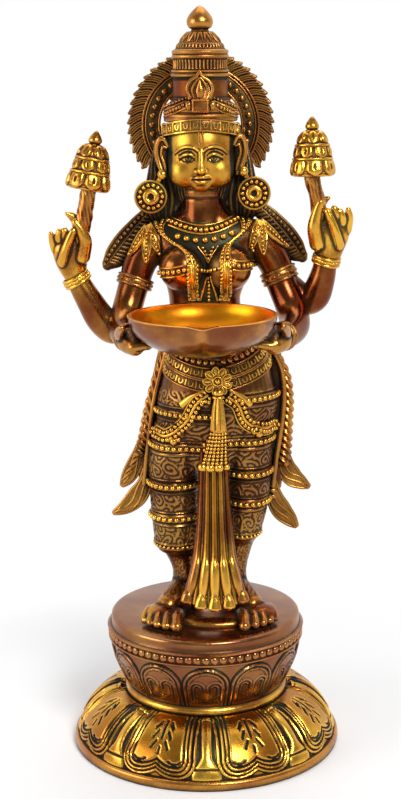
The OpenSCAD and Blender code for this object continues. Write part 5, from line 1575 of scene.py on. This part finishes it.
def swellings(co, _):
    """Uneven surface of a filed stalk."""
    return 0.3 * np.sin(co[:, 2] * 0.45 + 3 * co[:, 0]) * np.sin(co[:, 2] * 0.21)


def bud_petals(co, _):
    """Rounded petals on the three tiers, each with a slit."""
    h = np.zeros(len(co))
    radius = np.hypot(co[:, 0], co[:, 1])
    for low, high, count, phase in TIERS:
        pitch_at = 2 * np.pi / count
        off = (np.arctan2(co[:, 1], co[:, 0]) / pitch_at + phase) % 1.0 - 0.5
        x = off * pitch_at * radius
        y = np.clip((co[:, 2] - low) / (high - low), 0, 1)
        half = 0.5 * pitch_at * radius * np.sqrt(np.clip(1 - (np.maximum(0.5 - y, 0) / 0.55) ** 2, 0, 1))
        here = (co[:, 2] > low + 0.2) & (co[:, 2] < high) & (radius > 3.4)
        leaf = 1.2 * step(half - np.abs(x), 0.0, 2.2) - 0.8
        leaf = leaf - 0.7 * bump(x, 0.6) * step(y, 0.35, 0.5) * step(-y, -0.85, -0.7)
        h = h + here * leaf
    return h


def bud(part):
    """Bud that stands on the origin."""
    turned(part, finer(BUD_ROWS, 91), 168)
    carve(part, bud_petals)


for name, joints in STALKS.items():
    stalk_bm = bmesh.new()
    limb(stalk_bm, pointed(joints), steps=10, sides=32)
    carve(stalk_bm, swellings)
    piece(name + "_form", stalk_bm, copper, name)
for name, (low_end, tip) in BUDS.items():
    bud_bm = bmesh.new()
    disc_way(bud_bm, bud, low_end, np.subtract(tip, low_end))
    piece(name + "_form", bud_bm, hand_brass, name, spread=3, crease=80)

# %% [markdown]
# ## The oil dish and the hands below it
#
# The dish is a thin shallow bowl with a small pouring lip. It is turned, and its front edge is then drawn
# out, as a smith would do it. It is a loose piece that lifts off the hands, so it rides on its own body.

# %% Oil dish
DISH_X, DISH_Y, RIM_Z, DISH_R, DISH_DEEP = 0.0, -66.0, 284.0, 42.5, 23.0
LIP_HALF, LIP_OUT, LIP_DOWN = 0.13, 2.4, 1.3
outer = [(DISH_R * math.sin(t), RIM_Z - DISH_DEEP * math.cos(t)) for t in np.linspace(0, math.pi / 2, 40)]
inner = [(r * (DISH_R - 2.0) / DISH_R, z + 1.9 - 1.2 * (r / DISH_R) ** 6) for r, z in outer]
dish_bm = bmesh.new()
turned(dish_bm, outer + [(DISH_R + 0.3, RIM_Z + 0.5), (DISH_R - 0.8, RIM_Z + 1.0)] + inner[::-1], 180)
for vert in dish_bm.verts:
    around = math.atan2(vert.co.x, -vert.co.y)
    pinch = math.exp(-(around / LIP_HALF) ** 2) * (vert.co.xy.length / DISH_R) ** 10
    vert.co.y -= LIP_OUT * pinch
    vert.co.z -= LIP_DOWN * pinch
bmesh.ops.translate(dish_bm, vec=(DISH_X, DISH_Y, 0), verts=dish_bm.verts)


def bowl(radius):
    """Height of the dish's outside at a distance from its middle."""
    return RIM_Z - DISH_DEEP * np.sqrt(np.clip(1 - (radius / DISH_R) ** 2, 0, 1))


def dish_inside(p):
    """Inner side of the dish, which takes a brighter, more orange brass."""
    return p[:, 2] > bowl(np.hypot(p[:, 0] - DISH_X, p[:, 1] - DISH_Y)) + 0.9


piece("oil_dish", dish_bm, dish_wash, "lamp_dish", body="dish", other=dish_gold, where=dish_inside)

# %% [markdown]
# Each hand below the dish is a fused form like the raised ones. Its fingertips touch the bowl, so their
# height follows from the bowl's own curve.

# %% Hands below the dish
FINGERS = ((-51, 30), (-55, 30), (-59, 31), (-63, 33))  # depth, and how far out the tip lies
for name, s, wrist in (("dish_hand_left", -1, 42), ("dish_hand_right", 1, 44)):
    hand_bm = bmesh.new()
    limb(hand_bm, [(s * wrist, -46, 268, 6.8), (s * (wrist + 0.5), -53, 267, 7.0),
                   (s * (wrist - 3), -60, 265.5, 5.6)], steps=5, sides=24)
    for y, reach in FINGERS:
        under = float(bowl(math.hypot(reach, y - DISH_Y))) - 3.2
        limb(hand_bm, [(s * (wrist - 1), y + 5, 266, 3.4), (s * (reach + 7), y, 265.5, 3.0),
                       (s * reach, y - 1, under, 2.2)], steps=5, sides=14)
    limb(hand_bm, [(s * (wrist + 3), -50, 269, 4.2), (s * 47.5, -57, 272, 3.4), (s * 47.0, -64, 275.5, 2.9),
                   (s * 45.6, -70.5, 278, 2.2)], steps=5, sides=14)
    piece(name + "_form", fuse(hand_bm, 0.6, 5), bronze, name)

# %% [markdown]
# ## Ear discs
#
# Large round ear ornaments hang from a stud in the lobe by a short link. The disc is turned with its rim
# and boss, and fourteen beads are set in the channel between them.

# %% Ear discs
EAR_DISC = [(0, -1.5), (9.4, -1.5), (9.9, -0.8), (10.0, 0.6), (9.6, 1.2), (8.8, 1.2), (8.4, 0.4), (5.4, 0.4),
            (5.0, 1.0), (4.2, 1.9), (3.0, 2.1), (2.0, 1.6), (1.5, 0.6), (0.8, 0.3), (0, 0.3)]
EAR_BEADS = 14
EAR_PLACES = (("ear_disc_left", -30, 346.5, -23, 359.5), ("ear_disc_right", 31.3, 348, 25, 361))


def ear_disc(bm):
    """Disc that lies round the z axis."""
    turned(bm, EAR_DISC, 64)
    for k in range(EAR_BEADS):
        bead(bm, round_place(k, EAR_BEADS, 6.9, 0.7), 1.35)


for name, x, z, stud_x, stud_z in EAR_PLACES:
    disc_bm = bmesh.new()
    disc_way(disc_bm, ear_disc, (x, -9.5, z), (0, -1, 0.05))
    bead(disc_bm, (stud_x, -9.5, stud_z), 2.9, (1, 0.8, 1), 16)
    limb(disc_bm, [(stud_x, -7.8, stud_z, 1.4), ((x + stud_x) / 2, -7.6, (z + stud_z) / 2 + 1, 1.4),
                   (x, -8, z + 6, 1.4)], sides=10)
    piece(name + "_form", disc_bm, gold, name)

# %% [markdown]
# ## Head
#
# The face is a calm one drawn from the usual rules: three equal parts from hairline to brow, nose and chin,
# and one eye's width between the eyes. Skull, jaw and cheeks are balls that are fused and softened first.
# Nose, lids, brows and lips are limbs laid on that and fused again, which leaves them crisper.

# %% Head form
CHIN_Z, HAIRLINE_Z = 349.4, 385.0
THIRD = (HAIRLINE_Z - CHIN_Z) / 3
BROW_Z, NOSE_Z = HAIRLINE_Z - THIRD, CHIN_Z + THIRD
EYE_Z, MOUTH_Z, EYE_X = BROW_Z - 3.6, NOSE_Z - 0.36 * THIRD, 7.4
MASSES = (((0, -1, 377), (20.4, 22.0, 20)), ((0, -3.4, 367.0), (20.6, 18.8, 17.0)),
          ((0, -16.6, CHIN_Z + 4.8), (6.4, 4.8, 4.8)), ((-9.0, -11.4, NOSE_Z + 0.4), (10.4, 9.4, 10.4)),
          ((9.0, -11.4, NOSE_Z + 0.4), (10.4, 9.4, 10.4)), ((0, -16.6, MOUTH_Z), (8.4, 5.6, 5.6)))
# x, depth, height over the eye, brow or mouth, and radius
UPPER_LID = (
    (3.4, -20.6, -0.3, 0.5), (5.2, -21.5, 1.7, 0.95), (7.6, -21.6, 2.3, 1.1), (10.2, -20.0, 1.6, 1.0),
    (12.8, -17.4, 0.0, 0.6),
)
LOWER_LID = ((3.6, -20.6, -0.5, 0.45), (5.6, -21.0, -1.9, 0.6), (7.8, -20.9, -2.3, 0.65),
             (10.2, -19.4, -1.7, 0.6), (12.4, -17.4, -0.2, 0.45))
BROW = ((1.6, -22.6, 0.4, 0.5), (4.6, -22.8, 2.6, 0.8), (8.6, -21.2, 3.0, 0.8), (12.4, -18.4, 1.6, 0.7),
        (15.2, -15.4, -0.8, 0.4))
UPPER_LIP = ((-5.4, -21.0, 0.7, 0.4), (-3.0, -22.9, 1.1, 0.95), (-1.1, -23.7, 1.7, 1.1), (0, -23.7, 1.4, 1.0),
             (1.1, -23.7, 1.7, 1.1), (3.0, -22.9, 1.1, 0.95), (5.4, -21.0, 0.7, 0.4))
LOWER_LIP = (
    (-4.8, -21.0, 0.2, 0.4), (-2.4, -22.8, -0.9, 1.1), (0, -23.4, -1.2, 1.35), (2.4, -22.8, -0.9, 1.1),
    (4.8, -21.0, 0.2, 0.4),
)


def raised(rows, base, side=1):
    """Rows lifted to a height, and mirrored where side is -1."""
    return [(side * x, y, base + z, r) for x, y, z, r in rows]


head_bm = bmesh.new()
for place, size in MASSES:
    bead(head_bm, place, 1, size, 40)
head_bm = fuse(head_bm, 0.6, 40)
limb(head_bm, [(0, -21.6, BROW_Z + 0.5, 1.7), (0, -23.2, EYE_Z, 1.7), (0, -25.0, NOSE_Z + 3.4, 2.0),
               (0, -25.9, NOSE_Z + 1.2, 2.4)], steps=6, sides=20)
for s in (-1, 1):
    bead(head_bm, (s * 2.7, -23.0, NOSE_Z + 0.7), 1.75, (1, 1.1, 0.9), 16)
    bead(head_bm, (s * EYE_X, -16.2, EYE_Z), 4.9, (1.05, 1, 0.85), 24)
    for rows, base in ((UPPER_LID, EYE_Z), (LOWER_LID, EYE_Z), (BROW, BROW_Z)):
        limb(head_bm, raised(rows, base, s), steps=5, sides=10)
for rows in (UPPER_LIP, LOWER_LIP):
    limb(head_bm, raised(rows, MOUTH_Z), steps=5, sides=12)
head_bm = fuse(head_bm, 0.42, 3)
print("head", len(head_bm.faces), "faces")

# %% [markdown]
# Fine lines are cut after the fusing, which would melt them. The same lines say where stain stays on the
# face, and the sides of the face towards the hair are darkened as painted shade.

# %% Face lines
LID_LINE = ((3.4, 5.2, 7.6, 10.2, 12.6), (-0.3, 1.7, 2.3, 1.6, 0.0))
BROW_LINE = ((1.6, 4.6, 8.6, 12.4, 15.2), (0.4, 2.6, 3.0, 1.6, -0.8))


def face_lines(co, _):
    """Lines of the eyes, mouth and brows."""
    x, z = np.abs(co[:, 0]), co[:, 2]
    iris = np.hypot(x - EYE_X, z - EYE_Z)
    lid = np.interp(x, *LID_LINE) + EYE_Z
    h = -(0.16 * bump(iris - 1.6, 0.4) + 0.35 * bump(iris, 0.7)) * (z < lid - 0.6)
    h = h - 0.35 * bump(z - lid - 1.6, 0.5) * (x > 3.6) * (x < 13.5)
    h = h - 0.3 * bump(z - lid + 1.1, 0.5) * (x > 3.8) * (x < 12.4)
    mouth = MOUTH_Z + 0.25 + 0.05 * x
    h = h - 0.55 * bump(z - mouth, 0.5) * (x < 5.6)
    h = h - 0.2 * bump(x, 0.7) * (z > MOUTH_Z + 2.6) * (z < NOSE_Z - 0.6)
    h = h - 0.3 * bump(np.hypot(x - 1.5, (z - NOSE_Z + 0.9) * 1.4), 0.7)
    return h * (co[:, 1] < -13)


def face_stain_and_shade(co):
    """Where stain stays on the face, in lids, brows, lips and nostrils, and painted shade on the sides
    towards the hair.
    """
    x, z = np.abs(co[:, 0]), co[:, 2]
    iris = np.hypot(x - EYE_X, z - EYE_Z)
    lid = np.interp(x, *LID_LINE) + EYE_Z
    brow = np.interp(x, *BROW_LINE) + BROW_Z
    eye = (x > 3.4) & (x < 13.0)
    marks = [bump(z - lid + 1.1, 0.75) * eye,
             0.8 * bump(z - lid - 1.7, 0.6) * eye,
             0.7 * bump(z - 2 * EYE_Z + lid + 0.2, 0.6) * eye,
             bump(iris, 0.9),
             0.7 * bump(iris - 1.7, 0.5) * (z < lid),
             0.8 * bump(z - brow + 1.0, 0.6) * (x > 1.6) * (x < 15.5),
             bump(z - MOUTH_Z - 0.3, 0.7) * (x < 5.8),
             0.6 * bump(np.hypot(x - 1.6, z - NOSE_Z + 0.9), 0.6),
             0.4 * bump(z - MOUTH_Z + 3.4, 0.8) * (x < 3.0)]
    # The band at the sides towards the hair is painted shade; the other marks are stain in cut lines.
    return np.maximum(np.max(marks, axis=0) * (co[:, 1] < -12), 0.75 * step(x, 14.5, 19.5))


carve(head_bm, face_lines)
# The face's cuts carry painted shade on its sides as well as the stain in its lines.
piece("calm_head", head_bm, face_gold, "head", spread=6, cuts_and_shade=face_stain_and_shade, crest=SOFT_CREST)
mark_bm = bmesh.new()
limb(mark_bm, [(-1.2, -22.4, HAIRLINE_Z - 0.5, 0.45), (-1.0, -22.7, BROW_Z + 5.0, 0.5),
               (0, -22.9, BROW_Z + 3.9, 0.55), (1.0, -22.7, BROW_Z + 5.0, 0.5),
               (1.2, -22.4, HAIRLINE_Z - 0.5, 0.45)], steps=5, sides=10)
piece("brow_mark", mark_bm, copper)

# %% [markdown]
# Long ears frame the face, and locks of hair fall behind them to the shoulders. Each ear is an outer and an
# inner limb over a flat lobe. The hair is fused from limbs and then carved into strands, since hair
# particles would never look cast.

# %% Ears and hair
EAR_OUTER = ((19.5, -7, 376, 1.2), (21.6, -7.2, 380, 1.5), (24.6, -6.6, 379.5, 1.6), (26.4, -5.4, 374, 1.6),
             (25.2, -5.6, 367, 1.6), (23.2, -6.6, 361.5, 1.5), (21.4, -7.6, 359, 1.3))
EAR_INNER = ((20.4, -7.4, 375, 0.8), (22.6, -7.4, 375.5, 0.9), (23.4, -7.0, 371, 0.9), (21.8, -7.6, 366, 0.9),
             (20.8, -8, 361, 0.9))
EAR_LOBE = ((22, -4.4, 378, 3.0), (23, -4.0, 370, 3.2), (21.6, -5.4, 360, 1.6))
BACK_HAIR = [(0, 4, 381, 18), (0, 4.5, 366, 17.6), (0, 5.5, 351, 16.6), (0, 9, 340, 13), (0, 11, 334, 10)]
LOCKS = (((16, 6, 372, 6), (17, 6, 358, 8), (18.5, 6, 345, 9), (21, 7, 334, 8)),
         ((19, 6, 383, 5), (23.5, 4, 369, 6), (26, 3, 353, 7), (26.5, 3, 341, 7.4), (25, 6, 331, 5.5)))
STRAND = 2.6


def strands(co, no):
    """Grooves that run down the hair."""
    lane = np.where(np.abs(co[:, 0]) > 16, np.arctan2(np.abs(co[:, 0]) - 24, co[:, 1] - 4) * 6.5,
                    np.arctan2(co[:, 0], co[:, 1] - 4) * 15)
    return 0.55 * np.cos(2 * np.pi * (lane + 0.06 * co[:, 2]) / STRAND) * (np.abs(no[:, 2]) < 0.8)


ears_bm = bmesh.new()
for s, shift in ((-1, 0.0), (1, 1.0)):
    limb(ears_bm, raised(EAR_OUTER, shift, s), steps=6, sides=14)
    limb(ears_bm, raised(EAR_INNER, shift, s), steps=6, sides=10)
    lobe = np.array(raised(EAR_LOBE, shift, s))
    sweep(ears_bm, lobe[:, :3], lobe[:, 3], 1.6, sides=16)
piece("long_ears", ears_bm, copper)
hair_bm = bmesh.new()
limb(hair_bm, BACK_HAIR, sides=36)
for s in (-1, 1):
    for lock in LOCKS:
        limb(hair_bm, raised(lock, 0, s), sides=24)
hair_bm = fuse(hair_bm, 0.8, 4)
carve(hair_bm, strands)
piece("hair_locks", hair_bm, deep, "hair", spread=1)

# %% [markdown]
# ## Crown
#
# The tall crown is a stack of mouldings with an onion knob, like a temple tower. It is turned, because all
# its rings are round, and flutes and leaves are then carved into it.

# %% Crown
CROWN_Z, FLUTES, CROWN_LEAF = 390.0, 44, 2 * np.pi / 16
CROWN_ROWS = [
    (0, 0), (21.2, 0), (21.9, 0.6), (21.9, 4.4), (21.2, 5.0), (21.2, 5.6), (21.8, 6.2), (21.8, 9.0),
    (20.6, 9.8), (18.2, 11.4), (16.6, 13.0), (16.3, 14.0), (16.3, 20.0), (16.3, 25.6), (17.4, 26.2),
    (17.6, 27.0), (17.0, 27.8), (16.5, 28.2), (17.2, 28.8), (17.2, 29.6), (16.0, 30.2), (15.6, 31.0),
    (15.5, 33.4), (15.7, 35.8), (16.2, 36.4), (16.9, 37.0), (16.9, 38.2), (16.2, 38.8), (16.6, 39.4),
    (16.9, 40.4), (16.2, 41.4), (14.8, 42.0), (14.2, 42.8), (13.4, 44.8), (12.8, 45.4), (12.4, 46.2),
    (10.6, 48.6), (8.2, 51.0), (6.9, 51.8), (6.4, 52.0), (0, 52.0),
]
KNOB = [(0, 441.6), (5.2, 441.8), (5.0, 443.2), (6.4, 443.9), (7.4, 445.4), (7.8, 447.4), (7.3, 449.6),
        (6.0, 451.8), (4.2, 453.8), (2.4, 455.4), (1.1, 456.4), (0, 456.9)]


def crown_relief(co, _):
    """Flutes, a row of drops and a ring of leaves."""
    z = co[:, 2] - CROWN_Z
    a = np.arctan2(co[:, 0], -co[:, 1])
    h = 0.45 * np.cos(FLUTES * a) * step(z, 30.2, 31.0) * step(-z, -36.2, -35.4)
    x = ((a / CROWN_LEAF) % 1.0 - 0.5) * CROWN_LEAF * np.hypot(co[:, 0], co[:, 1])
    leaf = 2.0 * np.sqrt(np.clip((z - 45.4) / 6.0, 0, 1)) * (z < 51.8) - np.abs(x)
    h = h + (z > 45.6) * (z < 51.6) * (0.7 * step(leaf, -0.2, 0.4) - 0.6 * bump(x, 0.4) - 0.3)
    return h + 0.35 * np.cos(40 * a) * bump(z - 43.8, 1.2)


crown_bm = bmesh.new()
turned(crown_bm, [(r, z + CROWN_Z) for r, z in finer(CROWN_ROWS, 140)], 264)
crown_skin = Skin(crown_bm)
carve(crown_bm, crown_relief)
piece("tall_crown", crown_bm, crown_wash, "crown", spread=1)
knob_bm = bmesh.new()
turned(knob_bm, spline(KNOB, 3).clip(min=0).tolist(), 64)
piece("crown_knob", knob_bm, copper, "crown_finial")

# %% [markdown]
# A fringe of bright curls on a dark band borders the brow. Band and curls are separate pieces, so that each
# keeps its own metal, and both follow one arched line.

# %% Brow fringe
FRINGE_Z, FRINGE_R, FRINGE_ARCH, FRINGE_HALF = 388.6, 22.0, 3.4, 3.2
a = np.radians(np.linspace(-105, 105, 80))
height = FRINGE_Z - FRINGE_ARCH * np.sin(a) ** 2
ring = np.stack([FRINGE_R * np.sin(a), -FRINGE_R * np.cos(a), height], axis=1)
outward = unit(ring * FLAT)
fringe_bm = bmesh.new()
curls_bm = bmesh.new()
sweep(fringe_bm, ring, 3.4, 0.8, up=outward, sides=12)
for edge in (-FRINGE_HALF, FRINGE_HALF):
    sweep(curls_bm, ring + outward * 0.6 + RISE * edge, 0.6, up=outward, sides=6)
bend = np.linspace(0.1 * np.pi, -1.1 * np.pi, 9)[:, None]
for i, row in enumerate(along(ring, 2.9)):
    out = unit(row * FLAT)
    side = np.cross(out, (0, 0, 1))
    if i % 2:
        curl = row + out * 0.9 + side * np.cos(bend) * 1.2 + RISE * (np.sin(bend) * 1.9 + 0.4)
        sweep(curls_bm, curl, 0.5, up=out, sides=6)
    else:
        sweep(curls_bm, [row + out * 0.9 + RISE * k for k in (-2.2, 0, 2.4)], 0.6, up=out, sides=6)
piece("brow_fringe", fringe_bm, dark)
piece("fringe_curls", curls_bm, gold)

# %% [markdown]
# Beads and wires run round the crown to a flame with a square stone below it. The flame is a flat leaf with
# raised lines, and the stone a bevelled cube with a wire frame.

# %% Crown beads and flame
GEM_HALF_X, GEM_HALF_Z = 4.2, 3.0
CROWN_LINES = ([(163.5, 113.6), (175, 109.5), (187, 104.5)], [(213.5, 104.5), (225, 109.5), (237, 113.6)])
FLAME = [(200, 99, -19.6, 7.0, 1.6), (200, 90, -18.4, 7.6, 1.6), (199.8, 82, -18.0, 5.4, 1.5),
         (199.5, 72.5, -18, 0.7, 0.8)]
FLAME_LINES = [([(190.5, 98), (187, 89), (190, 81), (196, 77), (199.4, 71.5)], 0.95),
               ([(209.5, 98), (212.5, 89), (209, 81), (203, 77), (199.6, 71.5)], 0.95),
               ([(194, 98), (192, 90), (195, 83), (199.8, 78), (204.5, 83), (207.5, 90), (206, 98)], 0.7)]
FLAME_DROP = [
    (200, 97, -20.2, 2.0), (200, 91, -20.4, 2.6), (199.8, 85, -20.0, 1.6), (199.7, 80.5, -19.6, 0.5),
]
crest_bm = bmesh.new()
for pixels in CROWN_LINES:
    bead_row(crest_bm, crown_skin, pixels, 2.4, 1.1, fine=8)
    bead_row(crest_bm, crown_skin, shifted(pixels, 0, -6), 2.4, 0.95, fine=8)
    for dv in (-3, 3.4):
        ridge(crest_bm, crown_skin, shifted(pixels, 0, dv), 0.6)
piece("crown_beads", crest_bm, copper)
flame_bm = bmesh.new()
flat_sweep(flame_bm, pointed(FLAME), 8, 20)
for pixels, r in FLAME_LINES:
    sweep(flame_bm, [at(u, v, -20.2) for u, v in spline(pixels, 8)], r, sides=10)
drop = spline(pointed(FLAME_DROP), 6)
sweep(flame_bm, drop[:, :3], drop[:, 3], 1.5, sides=16)
gem = bmesh.new()
bmesh.ops.create_cube(gem, size=1.0)
bmesh.ops.scale(gem, vec=(10.4, 4.4, 8.0), verts=gem.verts)
bmesh.ops.bevel(gem, geom=gem.edges[:], offset=0.9, segments=3, profile=0.5, affect="EDGES", material=-1)
bmesh.ops.translate(gem, vec=at(200.5, 105.8, -21.4), verts=gem.verts)
join(flame_bm, gem)
gem_at = at(200.5, 105.8, -23.8)
for dz in (GEM_HALF_Z, -GEM_HALF_Z):
    sweep(flame_bm, [gem_at + np.array([k, 0, dz]) for k in (-GEM_HALF_X, 0, GEM_HALF_X)], 0.6, sides=8)
for dx in (-GEM_HALF_X, GEM_HALF_X):
    sweep(flame_bm, [gem_at + np.array([dx, 0, k]) for k in (-GEM_HALF_Z, 0, GEM_HALF_Z)], 0.6, sides=8)
for u in (188.5, 212.5):
    bead(flame_bm, at(u, 105.8, -22.2), 2.0, (0.9, 0.8, 1.4), 14)
piece("crown_flame", flame_bm, copper, "crown_crest")

# %% [markdown]
# ## Halo
#
# A flat horseshoe stands behind the head, with a row of beads between two rims and curved leaves round the
# outside. One leaf could be copied round, but the leaves droop to both sides from the top, so each is swept
# along its own curve. A bar joins the sides behind the hair, and the rivet goes through the bar.

# %% Halo
HALO_Z, HALO_Y, HALO_R, HALO_OPEN = 387.0, 23.8, 29.8, math.radians(114)
BAR_Z, BAR_HALF = 382.0, 26.5
LEAVES, LEAF_DROOP = 32, 0.030
LEAF_SIZES = np.array([1, 1.05, 1.1, 1.1, 1.1, 1.05, 0.95, 0.75, 0.4])
LEAF_RIBS = ((-0.009, 0.7, -1.2), (0.0, 0.6, -1.5), (0.009, 0.7, -1.2))  # lean, half width and depth
halo_start = HALO_OPEN / 2 - math.pi / 2
halo_turn = 2 * math.pi - HALO_OPEN


def halo_at(r, share, y=0.0):
    """Place on the halo at a radius and a share of its round."""
    a = halo_start + halo_turn * np.asarray(share)
    return np.stack([r * np.cos(a), HALO_Y + y + 0 * a, HALO_Z + r * np.sin(a)], axis=-1)


def leaf_line(share, lean, y, start, length):
    """Curve of a leaf or rib that droops away from the top."""
    droop = -LEAF_DROOP if share < 0.5 else LEAF_DROOP
    run = np.linspace(0, 1, len(LEAF_SIZES))
    return halo_at(start + length * run, np.clip(share + lean + droop * run ** 1.4, -0.01, 1.01), y)


def halo_ground(p):
    """Plate between the rims, and the leaf blades behind their ribs."""
    r = np.hypot(p[:, 0], p[:, 2] - HALO_Z)
    between = (np.abs(r - HALO_R) < 4.2) & (p[:, 1] > HALO_Y - 1.7)
    blade = (r > 36.2) & (np.abs(p[:, 1] - HALO_Y + 0.5) < 0.75)
    return between | blade


halo_bm = bmesh.new()
shares = np.linspace(0, 1, 120)
sweep(halo_bm, halo_at(HALO_R, shares), 5.3, 1.3, sides=14)
sweep(halo_bm, halo_at(23.2, np.linspace(0.3, 0.7, 40), 0.6), 2.4, 0.8, sides=12)
for r, half in ((25.2, 0.9), (33.4, 0.7), (35.2, 0.9)):
    sweep(halo_bm, halo_at(r, shares, -1.2), half, sides=8)
sweep(halo_bm, [(x, HALO_Y, BAR_Z) for x in np.linspace(-BAR_HALF, BAR_HALF, 24)], 4.8, 1.4, sides=16)
for share in np.linspace(0.01, 0.99, 24):
    bead(halo_bm, halo_at(29.6, share, -1.4), 2.1, (1, 0.8, 1), 12)
for k in range(LEAVES):
    share = (k + 0.5) / LEAVES
    sweep(halo_bm, leaf_line(share, 0.0, 0.0, 35.0, 9.0), 2.6 * LEAF_SIZES, 1.2, sides=10)
    for lean, half, y in LEAF_RIBS:
        sweep(halo_bm, leaf_line(share, lean, y, 35.5, 7.8), half * LEAF_SIZES, sides=6)
piece("leaf_halo", halo_bm, carved, "halo", spread=1, other=dark, where=halo_ground)

# %% [markdown]
# ## Fixings
#
# The tie rod, the studs and their nuts are plain steel and stay as the CAD model has them. So does the
# rivet that holds the halo.

# %% Fixings
for name in ("tie_rod", "tie_washer", "tie_nut", "foot_studs", "foot_nuts", "halo_rivet"):
    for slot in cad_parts[name].material_slots:
        slot.link = "OBJECT"
        slot.material = steel
print("fixings in steel")

# %% Update the scene
bpy.context.view_layer.update()
